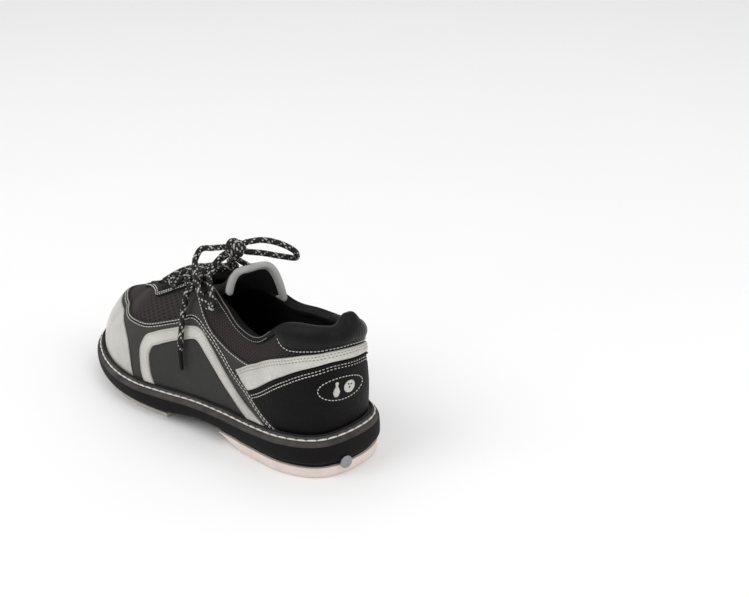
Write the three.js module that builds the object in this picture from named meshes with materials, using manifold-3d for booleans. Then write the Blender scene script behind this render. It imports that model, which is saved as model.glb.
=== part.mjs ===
// A left bowling shoe, full size, in millimetres.
// +X is the toe, +Y the outer (lateral) side, +Z up. The origin is under the middle of the sole.
import * as THREE from "three";
import { mergeVertices } from "three/addons/utils/BufferGeometryUtils.js";
import Module from "manifold-3d";

const wasm = await Module();
wasm.setup();
const { Manifold, Mesh } = wasm;
const group = new THREE.Group();
group.name = "bowling_shoe";

// ---------------------------------------------------------------- colours
const FINISH = {
  nubuck: { color: 0x3a3a3e, roughness: 0.85 },
  grain: { color: 0x1b1b1d, roughness: 0.6 },
  panel: { color: 0x2c2c30, roughness: 0.8 },
  pale: { color: 0xc9c5c0, roughness: 0.6 },
  binding: { color: 0x9a9896, roughness: 0.8 },
  mesh: { color: 0x18181b, roughness: 0.9 },
  lining: { color: 0x101012, roughness: 0.95 },
  foam: { color: 0xb9b2a4, roughness: 0.95 },
  board: { color: 0x8c7a5c, roughness: 0.9 },
  steel: { color: 0x9a9da1, roughness: 0.35, metalness: 0.9 },
  rubber: { color: 0x1e1b1b, roughness: 0.75 },
  pad: { color: 0xd8cbc4, roughness: 0.7 },
  loop: { color: 0x26262a, roughness: 1.0 },
  microfibre: { color: 0xc7c4be, roughness: 0.95 },
  lace: { color: 0x131315, roughness: 0.85 },
  aglet: { color: 0x0c0c0d, roughness: 0.3 },
  sticker: { color: 0xd9dadb, roughness: 0.3 },
};

// ---------------------------------------------------------------- the last
// Twelve stations a side, from the back of the heel (0) to the tip of the toe (11).
// Each has the point where the upper meets the sole, and the point at its top edge.
const FOOT_X = [-132, -126, -104.5, -75, -45, -14, 16, 45, 74, 102, 125, 135.5];
const FOOT_Z = [31, 30.3, 29, 27, 25.5, 24.5, 23, 21.5, 21, 21.3, 22.4, 23.3];
const FOOT_LATERAL = [0, 22.5, 33.5, 35, 34, 35.5, 40, 43, 40, 30, 13.5, -8.5];
const FOOT_MEDIAL = [0, -22.5, -33, -33.5, -33.5, -37, -43.5, -48.5, -49, -43, -29, -8.5];
const TOP_X = [-136.5, -129.5, -104, -79, -56, -33.5, -8, 24, 54, 74, 89, 99];
const TOP_Z_LATERAL = [105, 109, 107, 89.5, 89.3, 97, 102, 94.5, 84, 75.5, 69.5, 64.5];
const TOP_Z_MEDIAL = [105, 102.5, 95, 91.5, 89.5, 97, 102, 94.5, 84, 75.5, 69.5, 64.5];
const TOP_LATERAL = [0, 17.5, 26.5, 28, 25.5, 19.5, 12.5, 12, 11, -1, -3, -5];
const TOP_MEDIAL = [0, -16, -22, -25.5, -25.5, -22, -15.5, -15, -14, -1, -3, -5];
// How far the side leans out and how far it runs up before it turns, low and then high.
const LOW_OUT = [3, 3, 4, 4, 4, 4, 4, 4, 3.6, 3, 2.5, 2.5];
const LOW_UP = [22, 22, 20, 18, 18, 20, 22, 22, 20, 18, 17, 17];
const HIGH_OUT = [3, 3.4, 4.6, 4.7, 5.2, 10, 16, 18, 18, 15.7, 13.5, 13.5];
const HIGH_DOWN = [22, 22, 18, 16, 16, 14, 8, 5, 3.7, 1.5, 0.6, 0];
// The middle of the finished sole in the last's own axes, moved to the origin at the end.
const CENTRE_X = 1.6;
const CENTRE_Y = -3.2;
const RING = 22; // stations round the whole shoe
const TOE = 11; // the tip of the toe
const SPINE = 9; // from here to the toe the two sides meet on top
// The pull tab stands up from the top edge at the back of the heel.
const TAB_RISE = 10.5;
const TAB_AT = -0.1; // its middle, a little to the inner side
const TAB_HALF = 0.46; // half its width, in stations
const TAB_FROM = 0.78; // the v it grows from

const byStation = (lateral, medial) => (k) => {
  const i = ((k % RING) + RING) % RING;
  return i <= TOE ? lateral[i] : medial[RING - i];
};

// A smooth closed curve through the stations.
function along(value, u) {
  const i = Math.floor(u);
  const w = u - i;
  const [a, b, c, d] = [value(i - 1), value(i), value(i + 1), value(i + 2)];
  const cubic = (3 * b - a - 3 * c + d) * w * w * w;
  return 0.5 * (2 * b + (c - a) * w + (2 * a - 5 * b + 4 * c - d) * w * w + cubic);
}

const footX = byStation(FOOT_X, FOOT_X);
const footY = byStation(FOOT_LATERAL, FOOT_MEDIAL);
const footZ = byStation(FOOT_Z, FOOT_Z);
const topX = byStation(TOP_X, TOP_X);
const topY = byStation(TOP_LATERAL, TOP_MEDIAL);
const topZ = byStation(TOP_Z_LATERAL, TOP_Z_MEDIAL);
const lowOut = byStation(LOW_OUT, LOW_OUT);
const lowUp = byStation(LOW_UP, LOW_UP);
const highOut = byStation(HIGH_OUT, HIGH_OUT);
const highDown = byStation(HIGH_DOWN, HIGH_DOWN);

const foot = (u) => new THREE.Vector3(along(footX, u), along(footY, u), along(footZ, u));

function top(u) {
  const here = new THREE.Vector3(along(topX, u), along(topY, u), along(topZ, u));
  const a = ((u % RING) + RING) % RING;
  if (a > SPINE && a < RING - SPINE) here.y = (here.y + along(topY, RING - a)) / 2;
  return here;
}

// The level direction straight out of the shoe at a station.
function outward(u) {
  const step = foot(u + 0.02).sub(foot(u - 0.02));
  return new THREE.Vector3(-step.y, step.x, 0).normalize();
}

function tab(u, v) {
  const turned = (((u + RING / 2) % RING) + RING) % RING;
  const across = Math.abs(turned - RING / 2 - TAB_AT);
  const grown = Math.max(0, (v - TAB_FROM) / (1 - TAB_FROM)) ** 2;
  return (TAB_RISE / (1 + (across / TAB_HALF) ** 6)) * grown;
}

// A point on the outside of the upper: u runs round the shoe, v from the sole (0) to the top (1).
function skin(u, v) {
  const out = outward(u);
  const low = foot(u);
  const high = top(u);
  const lowTurn = low.clone().addScaledVector(out, along(lowOut, u));
  lowTurn.z += along(lowUp, u);
  const highTurn = high.clone().addScaledVector(out, along(highOut, u));
  highTurn.z -= along(highDown, u);
  const w = 1 - v;
  const point = low.multiplyScalar(w * w * w)
    .addScaledVector(lowTurn, 3 * v * w * w)
    .addScaledVector(highTurn, 3 * v * v * w)
    .addScaledVector(high, v * v * v);
  point.z += tab(u, v);
  return point;
}

function normal(u, height) {
  const a = ((u % RING) + RING) % RING;
  const v = a >= SPINE && a <= RING - SPINE ? Math.min(height, 0.96) : height;
  const around = skin(u + 0.03, v).sub(skin(u - 0.03, v));
  const upward = skin(u, v + 0.01).sub(skin(u, v - 0.01));
  const out = around.cross(upward).multiplyScalar(-1).normalize();
  const level = outward(u);
  return out.dot(level) + out.z < 0 ? out.negate() : out;
}

// The same point moved out of the skin by a distance.
const offSkin = (u, v, out) => skin(u, v).addScaledVector(normal(u, v), out);

// ---------------------------------------------------------------- solids
function solidFrom(points, faces) {
  const vertices = new Float32Array(points.flatMap((p) => [p.x, p.y, p.z]));
  const triangles = new Uint32Array(faces.flat());
  const mesh = new Mesh({ numProp: 3, vertProperties: vertices, triVerts: triangles });
  mesh.merge();
  const solid = new Manifold(mesh);
  if (solid.volume() > 0) return solid;
  const turned = new Uint32Array(faces.flatMap(([a, b, c]) => [a, c, b]));
  const flipped = new Mesh({ numProp: 3, vertProperties: vertices, triVerts: turned });
  flipped.merge();
  return new Manifold(flipped);
}

// A solid from one of the closed three.js shapes.
function solidOf(shape) {
  shape.deleteAttribute("normal");
  shape.deleteAttribute("uv");
  const closed = mergeVertices(shape, 1e-5);
  const place = closed.getAttribute("position");
  const corners = closed.getIndex().array;
  const points = Array.from({ length: place.count }, (_, i) =>
    new THREE.Vector3().fromBufferAttribute(place, i));
  const faces = Array.from({ length: corners.length / 3 }, (_, i) =>
    [corners[3 * i], corners[3 * i + 1], corners[3 * i + 2]]);
  return solidFrom(points, faces);
}

const quad = (a, b, c, d) => [[a, b, c], [a, c, d]];

// A closed skin between two distances from the outside, all round the shoe.
const PER_STATION = 2;
const COLUMNS = RING * PER_STATION;
const ROWS = 6;
function wholeShell(inner, outer) {
  const points = [];
  const slot = (layer, i, j) => {
    let column = ((i % COLUMNS) + COLUMNS) % COLUMNS;
    const spine = column >= SPINE * PER_STATION && column <= COLUMNS - SPINE * PER_STATION;
    if (j === ROWS && spine) column = Math.min(column, COLUMNS - column);
    return (layer * COLUMNS + column) * (ROWS + 1) + j;
  };
  for (const offset of [inner, outer])
    for (let i = 0; i < COLUMNS; i++)
      for (let j = 0; j <= ROWS; j++) {
        const u = i / PER_STATION;
        const n = normal(u, j / ROWS);
        if (j === ROWS && u >= SPINE && u <= RING - SPINE) {
          n.add(normal(RING - u, 1)).normalize();
        }
        points.push(skin(u, j / ROWS).addScaledVector(n, offset));
      }
  const faces = [];
  for (let i = 0; i < COLUMNS; i++) {
    for (let j = 0; j < ROWS; j++) {
      faces.push(...quad(slot(0, i, j), slot(0, i + 1, j), slot(0, i + 1, j + 1), slot(0, i, j + 1)));
      faces.push(...quad(slot(1, i, j + 1), slot(1, i + 1, j + 1), slot(1, i + 1, j), slot(1, i, j)));
    }
    faces.push(...quad(slot(0, i, 0), slot(1, i, 0), slot(1, i + 1, 0), slot(0, i + 1, 0)));
    const open = i < SPINE * PER_STATION || i >= COLUMNS - SPINE * PER_STATION;
    if (open) {
      const [a, b] = [slot(0, i, ROWS), slot(0, i + 1, ROWS)];
      faces.push(...quad(a, b, slot(1, i + 1, ROWS), slot(1, i, ROWS)));
    }
  }
  return solidFrom(points, faces.filter(([a, b, c]) => a !== b && b !== c && a !== c));
}

// Points evenly spread along a smooth line through a few (u, v) pairs.
function smoothLine(pairs, count) {
  const curve = new THREE.CatmullRomCurve3(pairs.map(([u, v]) => new THREE.Vector3(u, v, 0)));
  return curve.getPoints(count).map((p) => [p.x, p.y]);
}

// A block through the upper over the area between two (u, v) lines, for cutting a panel out.
const U_MM = 15.5; // length of one step of u on the skin
const V_MM = 72; // length of one step of v
const REACH = 7; // how far the block stands in and out of the skin
function area(lower, upper, count, grow = 0, rows = 5) {
  const from = smoothLine(lower, count);
  const to = smoothLine(upper, count);
  const columns = from.map((a, i) => {
    const b = to[i];
    const length = Math.hypot((b[0] - a[0]) * U_MM, (b[1] - a[1]) * V_MM) || 1;
    const du = ((b[0] - a[0]) / length) * grow;
    const dv = ((b[1] - a[1]) / length) * grow;
    let side = 0;
    if (i === 0) side = -grow / U_MM;
    if (i === count) side = grow / U_MM;
    return [[a[0] - du + side, a[1] - dv], [b[0] + du + side, b[1] + dv]];
  });
  const points = [];
  for (const offset of [-REACH, REACH])
    for (const [a, b] of columns)
      for (let j = 0; j <= rows; j++) {
        const t = j / rows;
        points.push(offSkin(a[0] + (b[0] - a[0]) * t, a[1] + (b[1] - a[1]) * t, offset));
      }
  const slot = (layer, i, j) => (layer * (count + 1) + i) * (rows + 1) + j;
  const faces = [];
  for (let i = 0; i < count; i++) {
    for (let j = 0; j < rows; j++) {
      faces.push(...quad(slot(0, i, j), slot(0, i + 1, j), slot(0, i + 1, j + 1), slot(0, i, j + 1)));
      faces.push(...quad(slot(1, i, j + 1), slot(1, i + 1, j + 1), slot(1, i + 1, j), slot(1, i, j)));
    }
    faces.push(...quad(slot(0, i, 0), slot(1, i, 0), slot(1, i + 1, 0), slot(0, i + 1, 0)));
    faces.push(...quad(slot(0, i + 1, rows), slot(1, i + 1, rows), slot(1, i, rows), slot(0, i, rows)));
  }
  for (let j = 0; j < rows; j++) {
    faces.push(...quad(slot(0, 0, j + 1), slot(1, 0, j + 1), slot(1, 0, j), slot(0, 0, j)));
    const [a, b] = [slot(0, count, j), slot(1, count, j)];
    faces.push(...quad(a, b, slot(1, count, j + 1), slot(0, count, j + 1)));
  }
  return solidFrom(points, faces);
}

// The other side's copy of a line, running the same way round the shoe.
const mirrored = (pairs) => pairs.map(([u, v]) => [RING - u, v]).reverse();
// A line that starts on the lateral side, crosses the toe or the heel, and ends on the medial side.
const acrossToe = (pairs) => [...pairs, ...mirrored(pairs).slice(1)];
const acrossHeel = (pairs) => [...pairs.map(([u, v]) => [-u, v]), ...[...pairs].reverse().slice(1)];

// A stack of rings joined into a solid. Each ring has the same number of points.
function loft(rings, cap) {
  const n = rings[0].length;
  const points = rings.flat();
  const faces = [];
  rings.slice(1).forEach((_, r) => {
    for (let i = 0; i < n; i++) {
      const k = (i + 1) % n;
      faces.push(...quad(r * n + i, r * n + k, (r + 1) * n + k, (r + 1) * n + i));
    }
  });
  const last = (rings.length - 1) * n;
  cap(n).forEach(([a, b, c]) => {
    faces.push([a, c, b], [last + a, last + b, last + c]);
  });
  return solidFrom(points, faces);
}

// Caps for rings that run from the heel round the lateral side, the toe and the medial side.
function rungs(n) {
  const faces = [];
  for (let i = 0; i < n / 2; i++) {
    const [a, b, c, d] = [i, i + 1, n - i - 1, (n - i) % n];
    if (a !== d) faces.push([a, b, d]);
    if (b !== c) faces.push([b, c, d]);
  }
  return faces;
}
const fan = (n) => Array.from({ length: n - 2 }, (_, i) => [0, i + 1, i + 2]);

// A round cord through a few points, with flat ends.
function cord(path, radius, sides = 8, steps = 40) {
  const curve = new THREE.CatmullRomCurve3(path);
  const frames = curve.computeFrenetFrames(steps, false);
  const rings = curve.getSpacedPoints(steps).map((centre, i) =>
    Array.from({ length: sides }, (_, k) => {
      const angle = (2 * Math.PI * k) / sides;
      return centre.clone()
        .addScaledVector(frames.normals[i], radius * Math.cos(angle))
        .addScaledVector(frames.binormals[i], radius * Math.sin(angle));
    }));
  return loft(rings, fan);
}

function add(name, solid, finish) {
  const mesh = solid.simplify(0.24).getMesh();
  let geometry = new THREE.BufferGeometry();
  const flat = new Float32Array(mesh.numVert * 3);
  for (let i = 0; i < mesh.numVert; i++)
    for (let k = 0; k < 3; k++) flat[i * 3 + k] = mesh.vertProperties[i * mesh.numProp + k];
  geometry.setAttribute("position", new THREE.BufferAttribute(flat, 3));
  geometry.setIndex(new THREE.BufferAttribute(new Uint32Array(mesh.triVerts), 1));
  geometry.translate(-CENTRE_X, -CENTRE_Y, 0);
  geometry = mergeVertices(geometry, 1e-5);
  const part = new THREE.Mesh(geometry, new THREE.MeshStandardMaterial(FINISH[finish]));
  part.name = name;
  group.add(part);
}

// The largest single body of a cut, without the crumbs a slanting cut can leave.
function onePiece(solid) {
  const bodies = solid.decompose();
  return bodies.sort((a, b) => b.volume() - a.volume())[0];
}

const blockBetween = (x0, x1, y0, y1, z0, z1) =>
  solidOf(new THREE.BoxGeometry(x1 - x0, y1 - y0, z1 - z0)
    .translate((x0 + x1) / 2, (y0 + y1) / 2, (z0 + z1) / 2));

// ---------------------------------------------------------------- the sole
// The underside of the midsole: raised over the heel pad, low at the ball, turned up at the toe.
const HEEL_LIFT = 11;
const BALL_LIFT = 6.2;
const TOE_SPRING = 8;
const lerpCosine = (a, b, t) => a + (b - a) * 0.5 * (1 - Math.cos(Math.PI * Math.min(Math.max(t, 0), 1)));
const underside = (x) =>
  lerpCosine(HEEL_LIFT, BALL_LIFT, (x + 25) / 45) + TOE_SPRING * Math.max(0, (x - 55) / 89) ** 2;

// A ring round the sole at a distance out from the upper, its height given by a rule.
const soleRing = (out, height) =>
  Array.from({ length: COLUMNS }, (_, i) => {
    const u = i / PER_STATION;
    const p = foot(u).addScaledVector(outward(u), out);
    p.z = height(p, u);
    return p;
  });
const feather = (u) => along(footZ, u);
const soleLoft = (levels) => loft(levels.map(([out, height]) => soleRing(out, height)), rungs);

const RIM = 8.8; // how far the sole stands out from the upper
add("midsole", soleLoft([
  [RIM - 3.2, (p) => underside(p.x)],
  [RIM - 1.0, (p) => underside(p.x) + 2.2],
  [RIM, (p, u) => (underside(p.x) + 2.2 + feather(u) - 4) / 2 + 1],
  [RIM, (p, u) => feather(u) - 4.5],
  [RIM - 1.2, (p, u) => feather(u) - 2.2],
  [RIM - 3.6, (p, u) => feather(u) - 1.3],
]), "rubber");

const ringBand = (outFrom, outTo, below, above) => soleLoft([
  [outTo, (p, u) => feather(u) + below],
  [outTo, (p, u) => feather(u) + above],
]).subtract(soleLoft([
  [outFrom, (p, u) => feather(u) + below - 1],
  [outFrom, (p, u) => feather(u) + above + 1],
]));
add("welt", ringBand(3.2, 5.4, -1.0, 1.4), "rubber");

// Heel: a loop sheet glued to the midsole, and a pad with a hook backing that presses on to it.
const HEEL_FRONT = -40; // x of the front edge of the heel pad
const heelOnly = (x) => blockBetween(-200, x, -80, 80, -5, 40);
const slab = (out, below, above) => soleLoft([[out, below], [out, above]]);
const under = (drop) => (p) => underside(p.x) - drop;
add("heel_loop_sheet", slab(5.2, under(1.2), under(0.3)).intersect(heelOnly(HEEL_FRONT)), "loop");
add("heel_hook_backing", slab(5.2, under(2.4), under(1.5)).intersect(heelOnly(HEEL_FRONT - 0.4)), "loop");
// Its front runs up in a long bevel.
const BEVEL = 24;
const bevelRise = (x) => 6.5 * Math.max(0, (x - HEEL_FRONT) / BEVEL + 1) ** 1.4;
const padTop = (p) => underside(p.x) - 2.7;
add("heel_pad", soleLoft([
  [4.8, (p) => Math.min(bevelRise(p.x), padTop(p) - 0.8)],
  [6.0, (p) => Math.min(bevelRise(p.x) + 1.6, padTop(p) - 0.4)],
  [6.8, padTop],
]).intersect(heelOnly(HEEL_FRONT - 0.8)), "pad");

// Forefoot: a loop sheet under the midsole and a thin slide sole with its own hook backing.
const BALL_BACK = 2;
const ballOnly = (x) => blockBetween(x, 200, -80, 80, -5, 40);
add("forefoot_loop_sheet", slab(2.6, under(1.3), under(0.3)).intersect(ballOnly(BALL_BACK)), "loop");
add("slide_hook_backing", slab(1.6, under(2.5), under(1.6)).intersect(ballOnly(BALL_BACK + 1)), "loop");
const ballFloor = BALL_LIFT - 2.8;
add("slide_sole", slab(1.4, under(ballFloor + 2.8), under(2.8))
  .intersect(ballOnly(BALL_BACK + 14)), "microfibre");

// Round size label pressed half on to the midsole, low on the outer side of the heel.
const LABEL_U = 0.42;
const labelOut = outward(LABEL_U);
const labelAt = foot(LABEL_U).addScaledVector(labelOut, RIM + 0.8);
const LABEL_THICK = 0.6;
add("size_label", solidOf(new THREE.CylinderGeometry(4.6, 4.6, LABEL_THICK, 20)
  .translate(0, LABEL_THICK / 2, 0)
  .rotateZ(Math.atan2(labelOut.y, labelOut.x) - Math.PI / 2)
  .translate(labelAt.x, labelAt.y, 10.5)), "sticker");

// Inside the shoe, from the midsole up: shank in its filler, lasting board, sock liner.
const bed = (out, low, high) => soleLoft([
  [out, (p, u) => feather(u) + low],
  [out, (p, u) => feather(u) + high],
]);
const shankSlot = blockBetween(-86.4, 14.4, -8.4, 8.4, 0, 60);
const shankSpace = blockBetween(-86, 14, -8, 8, 0, 60);
add("shank", bed(-6, -0.9, 0.1).intersect(shankSpace), "steel");
add("bottom_filler", bed(-2, -0.9, 0.1).subtract(shankSlot), "board");
add("lasting_board", bed(-5.6, 0.5, 2.1), "board");
add("sock_liner", bed(-6.8, 2.5, 6.5), "foam");

// ---------------------------------------------------------------- the upper
const LINING = wholeShell(-4.9, -3.5);
const BASE = wholeShell(-2.3, -0.8);
const FIRST = wholeShell(0, 1.3);
const SECOND = wholeShell(2.0, 3.0);
const GAP = 0.5;
const LOW = -0.06; // v just under the bottom edge
const HIGH = 1.06; // v just over the top edge

// Seam lines of the lateral side as (u, v). The medial side is their mirror image.
const CAP_EDGE = [[7.24, -0.02], [7.35, 0.15], [7.58, 0.3], [7.95, 0.42], [8.6, 0.5], [9.8, 0.55], [11, 0.57]];
const GUARD_EDGE = [
  [1.95, -0.03], [2.17, 0.016], [2.34, 0.052], [2.62, 0.157], [2.88, 0.268], [3.15, 0.376],
  [3.5, 0.455], [3.86, 0.515], [4.25, 0.589], [4.62, 0.63], [4.96, 0.66], [5.29, 0.675], [5.56, 0.69],
  [5.8, 0.695], [6.05, 0.675], [6.25, 0.625], [6.66, 0.579], [7.2, 0.534], [7.75, 0.55], [8.6, 0.595],
  [9.8, 0.66], [11, 0.71],
];
const STRIPE_OUTER = [
  [6.7, LOW], [6.93, 0.2], [7.07, 0.34], [7.04, 0.42], [6.78, 0.478], [6.25, 0.54], [5.88, 0.59],
  [5.58, 0.628], [5.32, 0.628], [4.97, 0.592], [4.4, 0.51], [3.8, 0.383], [3.2, 0.22], [2.35, LOW],
];
const STRIPE_INNER = [
  [6.3, LOW], [6.57, 0.179], [6.7, 0.3], [6.68, 0.35], [6.5, 0.385], [6.15, 0.435], [5.8, 0.483],
  [5.47, 0.536], [5.28, 0.532], [4.95, 0.49], [4.5, 0.417], [4.1, 0.33], [3.62, 0.2], [2.95, LOW],
];
const HEEL_STRIPE_TOP = [
  [3.75, 0.545], [3.2, 0.672], [2.78, 0.704], [2.43, 0.693], [2.09, 0.68], [1.76, 0.695], [1.42, 0.732],
  [0.69, 0.795], [0, 0.815],
];
const HEEL_STRIPE_FOOT = [
  [3.12, 0.39], [2.8, 0.438], [2.49, 0.479], [2.21, 0.508], [1.95, 0.535], [1.68, 0.574], [1.4, 0.617],
  [0.8, 0.69], [0, 0.712],
];
const COLLAR_EDGE = [
  [2.3, HIGH], [2.26, 0.93], [2.2, 0.865], [2.1, 0.8], [1.9, 0.745], [1.67, 0.734], [1.34, 0.755],
  [1, 0.78], [0.69, 0.802], [0, 0.824],
];
const MESH_EDGE = [
  [3.1, 0.655], [3.29, 0.672], [3.81, 0.677], [4.33, 0.677], [4.7, 0.678], [5.01, 0.687], [5.34, 0.714],
  [5.56, 0.74], [5.76, 0.775], [5.99, 0.828], [6.18, 0.9], [6.24, HIGH],
];
const SADDLE_FOOT = [
  [3.2, 0.45], [3.5, 0.48], [3.86, 0.5], [4.25, 0.56], [4.62, 0.6], [4.96, 0.63], [5.29, 0.645],
  [5.56, 0.66], [5.8, 0.665], [6.05, 0.65], [6.2, 0.61],
];
const SADDLE_TOP = [...MESH_EDGE.slice(0, 10), [6.38, HIGH]];
const STAY_EDGE = [[6.5, 0.96], [6.9, 0.88], [7.2, 0.82], [7.5, 0.79], [7.72, 0.85], [8.1, 0.9], [8.5, 0.89]];

const level = (from, to, v, count = 6) =>
  Array.from({ length: count + 1 }, (_, i) => [from + ((to - from) * i) / count, v]);
const cutOut = (shell, block, taken = []) =>
  onePiece(taken.reduce((solid, other) => solid.subtract(other), shell.intersect(block)));

const capArea = (grow = 0) =>
  area(level(7.24, RING - 7.24, LOW, 12), acrossToe(CAP_EDGE), 16, grow, 3);
const guardArea = (grow = 0) =>
  area(acrossToe(GUARD_EDGE.map(([u]) => [u, LOW])), acrossToe(GUARD_EDGE), 42, grow, 3);
const counterTop = HEEL_STRIPE_TOP.map(([u, v]) => [u, v + 0.006]);
const counterArea = (grow = 0) =>
  area(level(-3.96, 3.96, LOW, 10), acrossHeel(counterTop), 12, grow, 3);
const collarArea = (grow = 0) =>
  area(acrossHeel(COLLAR_EDGE), level(-2.3, 2.3, HIGH, 18), 28, grow, 1);
const onSide = (side, pairs) => (side === "lateral" ? pairs : mirrored(pairs));
const sideArea = (side, lower, upper, count, grow = 0, rows = 4) =>
  area(onSide(side, lower), onSide(side, upper), count, grow, rows);

add("toe_cap", cutOut(FIRST, capArea()), "pale");
add("mudguard", cutOut(FIRST, guardArea(), [capArea(GAP)]), "nubuck");
add("heel_counter_cover", cutOut(FIRST, counterArea(), [guardArea(GAP)]), "grain");
add("collar_cover", cutOut(FIRST, collarArea(), [counterArea(GAP)]), "grain");
add("heel_stripe", cutOut(SECOND, area(
  acrossHeel(HEEL_STRIPE_FOOT), acrossHeel(HEEL_STRIPE_TOP), 20, 0, 1), [guardArea(GAP)]), "pale");
add("heel_stiffener", cutOut(BASE, area(
  level(-2.6, 2.6, LOW, 10), level(-2.6, 2.6, 0.6, 10), 12, 0, 4)), "board");
const stiffenerArea = area(level(-2.6, 2.6, LOW, 10), level(-2.6, 2.6, 0.6, 10), 12, GAP, 4);
add("collar_foam", cutOut(BASE, collarArea(-0.4)), "foam");

for (const side of ["lateral", "medial"]) {
  add(`side_stripe_${side}`, cutOut(SECOND, sideArea(side, STRIPE_INNER, STRIPE_OUTER, 24, 0, 1)), "pale");
  const panelFoot = level(6.25, 3.02, LOW, STRIPE_INNER.length - 1);
  add(`side_panel_${side}`, cutOut(SECOND, sideArea(side, panelFoot, STRIPE_INNER, 24, 0, 3),
    [sideArea(side, STRIPE_INNER, STRIPE_OUTER, 24, GAP, 1)]), "panel");
  const saddle = (grow) => sideArea(side, SADDLE_FOOT, SADDLE_TOP, 20, grow, 3);
  add(`saddle_${side}`, cutOut(FIRST, saddle(0), [guardArea(GAP), counterArea(GAP)]), "nubuck");
  const stayTop = level(6.5, 8.5, HIGH, 6);
  add(`eyestay_${side}`, cutOut(FIRST, sideArea(side, STAY_EDGE, stayTop, 12, 0, 2),
    [saddle(GAP)]), "nubuck");
  const bindFoot = level(2.42, 5.9, 0.945, 4);
  const bindTop = level(2.42, 6.0, HIGH, 4);
  add(`topline_binding_${side}`, cutOut(FIRST, sideArea(side, bindFoot, bindTop, 10, 0, 1),
    [collarArea(GAP), saddle(GAP)]), "mesh");
  const quarter = sideArea(side, level(0.02, 5.98, LOW, 8), level(0.02, 5.98, HIGH, 8), 8, 0, 3);
  add(`quarter_mesh_${side}`, cutOut(BASE, quarter, [stiffenerArea, collarArea(GAP - 0.4)]), "mesh");
}

// The vamp: everything ahead of the quarters, both sides and over the toes.
const rearArea = (grow) => area(level(-6, 6, LOW, 12), level(-6, 6, HIGH, 12), 12, grow, 3);
add("vamp_mesh", onePiece(BASE.subtract(rearArea(GAP))), "mesh");
const tipSide = (side) => sideArea(side, [[8.55, 0.89], [9.1, 0.86], [9.7, 0.9]],
  [[8.55, HIGH], [9.1, 1.03], [9.7, 1.03]], 8, 0, 2);
add("vamp_tip", cutOut(FIRST, tipSide("lateral").add(tipSide("medial"))), "nubuck");
add("quarter_lining", cutOut(LINING, rearArea(0)), "lining");
add("vamp_lining", onePiece(LINING.subtract(rearArea(GAP))), "lining");

// An oval badge stitched to the outer back of the heel.
const BADGE = { u: 0.32, v: 0.445, halfU: 0.82, halfV: 0.118 };
const badgeArc = (sign) => Array.from({ length: 9 }, (_, i) => {
  const angle = (Math.PI * (i + 0.25)) / 8.5;
  return [BADGE.u - BADGE.halfU * Math.cos(angle), BADGE.v + sign * BADGE.halfV * Math.sin(angle)];
});
add("badge_patch", cutOut(SECOND, area(badgeArc(-1), badgeArc(1), 10, 0, 1)), "grain");

// ---------------------------------------------------------------- the tongue
// Its centre line on the outer face, from under the vamp to the free end. To each side it has a
// half width, a drop, and a sweep towards the toe. The medial side hangs lower and further back.
const TONGUE_X = [50, 36, 20, 4, -9, -20, -31, -42];
const TONGUE_Z = [78.4, 83.2, 88, 93.6, 101, 110, 119, 125];
const TONGUE_SIDES = {
  lateral: {
    half: [13, 15, 16.5, 16, 13.5, 13.5, 15, 16.5],
    drop: [3.4, 4.6, 6.5, 8, 10, 15, 22, 27],
    sweep: [0, 0, 0, 0, 0, 2, 6, 10],
  },
  medial: {
    half: [13, 15, 16.5, 16, 13.5, 13.5, 15.5, 18],
    drop: [3.4, 4.6, 6.5, 8, 10, 16, 28, 41],
    sweep: [0, 0, 0, 0, -1, -4, -8, -11],
  },
};
const TONGUE_ARCH = 1.35; // radians from the middle of the arch to its edge
const TONGUE_Y = -1.5;
const TONGUE_STEPS = 10;
const TONGUE_SPAN = 8;
const tongueCentre = new THREE.CatmullRomCurve3(
  TONGUE_X.map((x, i) => new THREE.Vector3(x, TONGUE_Y, TONGUE_Z[i])));
const shapeOf = ({ half, drop, sweep }) =>
  new THREE.CatmullRomCurve3(half.map((h, i) => new THREE.Vector3(h, drop[i], sweep[i])));
const tongueShape = { lateral: shapeOf(TONGUE_SIDES.lateral), medial: shapeOf(TONGUE_SIDES.medial) };
// Across the tongue s runs from -1 (medial) to 1 (lateral).
function tongueSkin(t, s) {
  const { x: half, y: drop, z: sweep } = (s > 0 ? tongueShape.lateral : tongueShape.medial).getPoint(t);
  const angle = TONGUE_ARCH * s;
  const shift = new THREE.Vector3(
    sweep * Math.abs(s) ** 1.5, half * Math.sin(angle), -drop * (1 - Math.cos(angle)));
  return tongueCentre.getPoint(t).add(shift);
}
// The same with a depth into the shoe.
function tonguePoint(t, s, depth) {
  const [t0, t1] = [Math.max(t - 0.01, 0), Math.min(t + 0.01, 1)];
  const forward = tongueSkin(t0, s).sub(tongueSkin(t1, s));
  const across = tongueSkin(t, s + 0.02).sub(tongueSkin(t, s - 0.02));
  const out = forward.cross(across).normalize();
  return tongueSkin(t, s).addScaledVector(out, -depth);
}
function tongueLayer(from, to, t0, t1, edge) {
  const rings = [];
  for (let k = 0; k <= TONGUE_STEPS; k++) {
    const t = t0 + ((t1 - t0) * k) / TONGUE_STEPS;
    const across = Array.from({ length: TONGUE_SPAN + 1 }, (_, i) => edge * ((2 * i) / TONGUE_SPAN - 1));
    rings.push([
      ...across.map((s) => tonguePoint(t, s, from)),
      ...across.reverse().map((s) => tonguePoint(t, s, to)),
    ]);
  }
  const strip = (n) => {
    const faces = [];
    for (let i = 0; i < n / 2 - 1; i++) faces.push(...quad(i, i + 1, n - 2 - i, n - 1 - i));
    return faces;
  };
  return loft(rings, strip);
}
add("tongue_cover", tongueLayer(0, 1.0, 0, 0.97, 0.98), "mesh");
add("tongue_foam", tongueLayer(1.9, 5.0, 0.02, 0.92, 0.86), "foam");
add("tongue_lining", tongueLayer(5.4, 6.4, 0.01, 0.93, 0.86), "lining");
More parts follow.
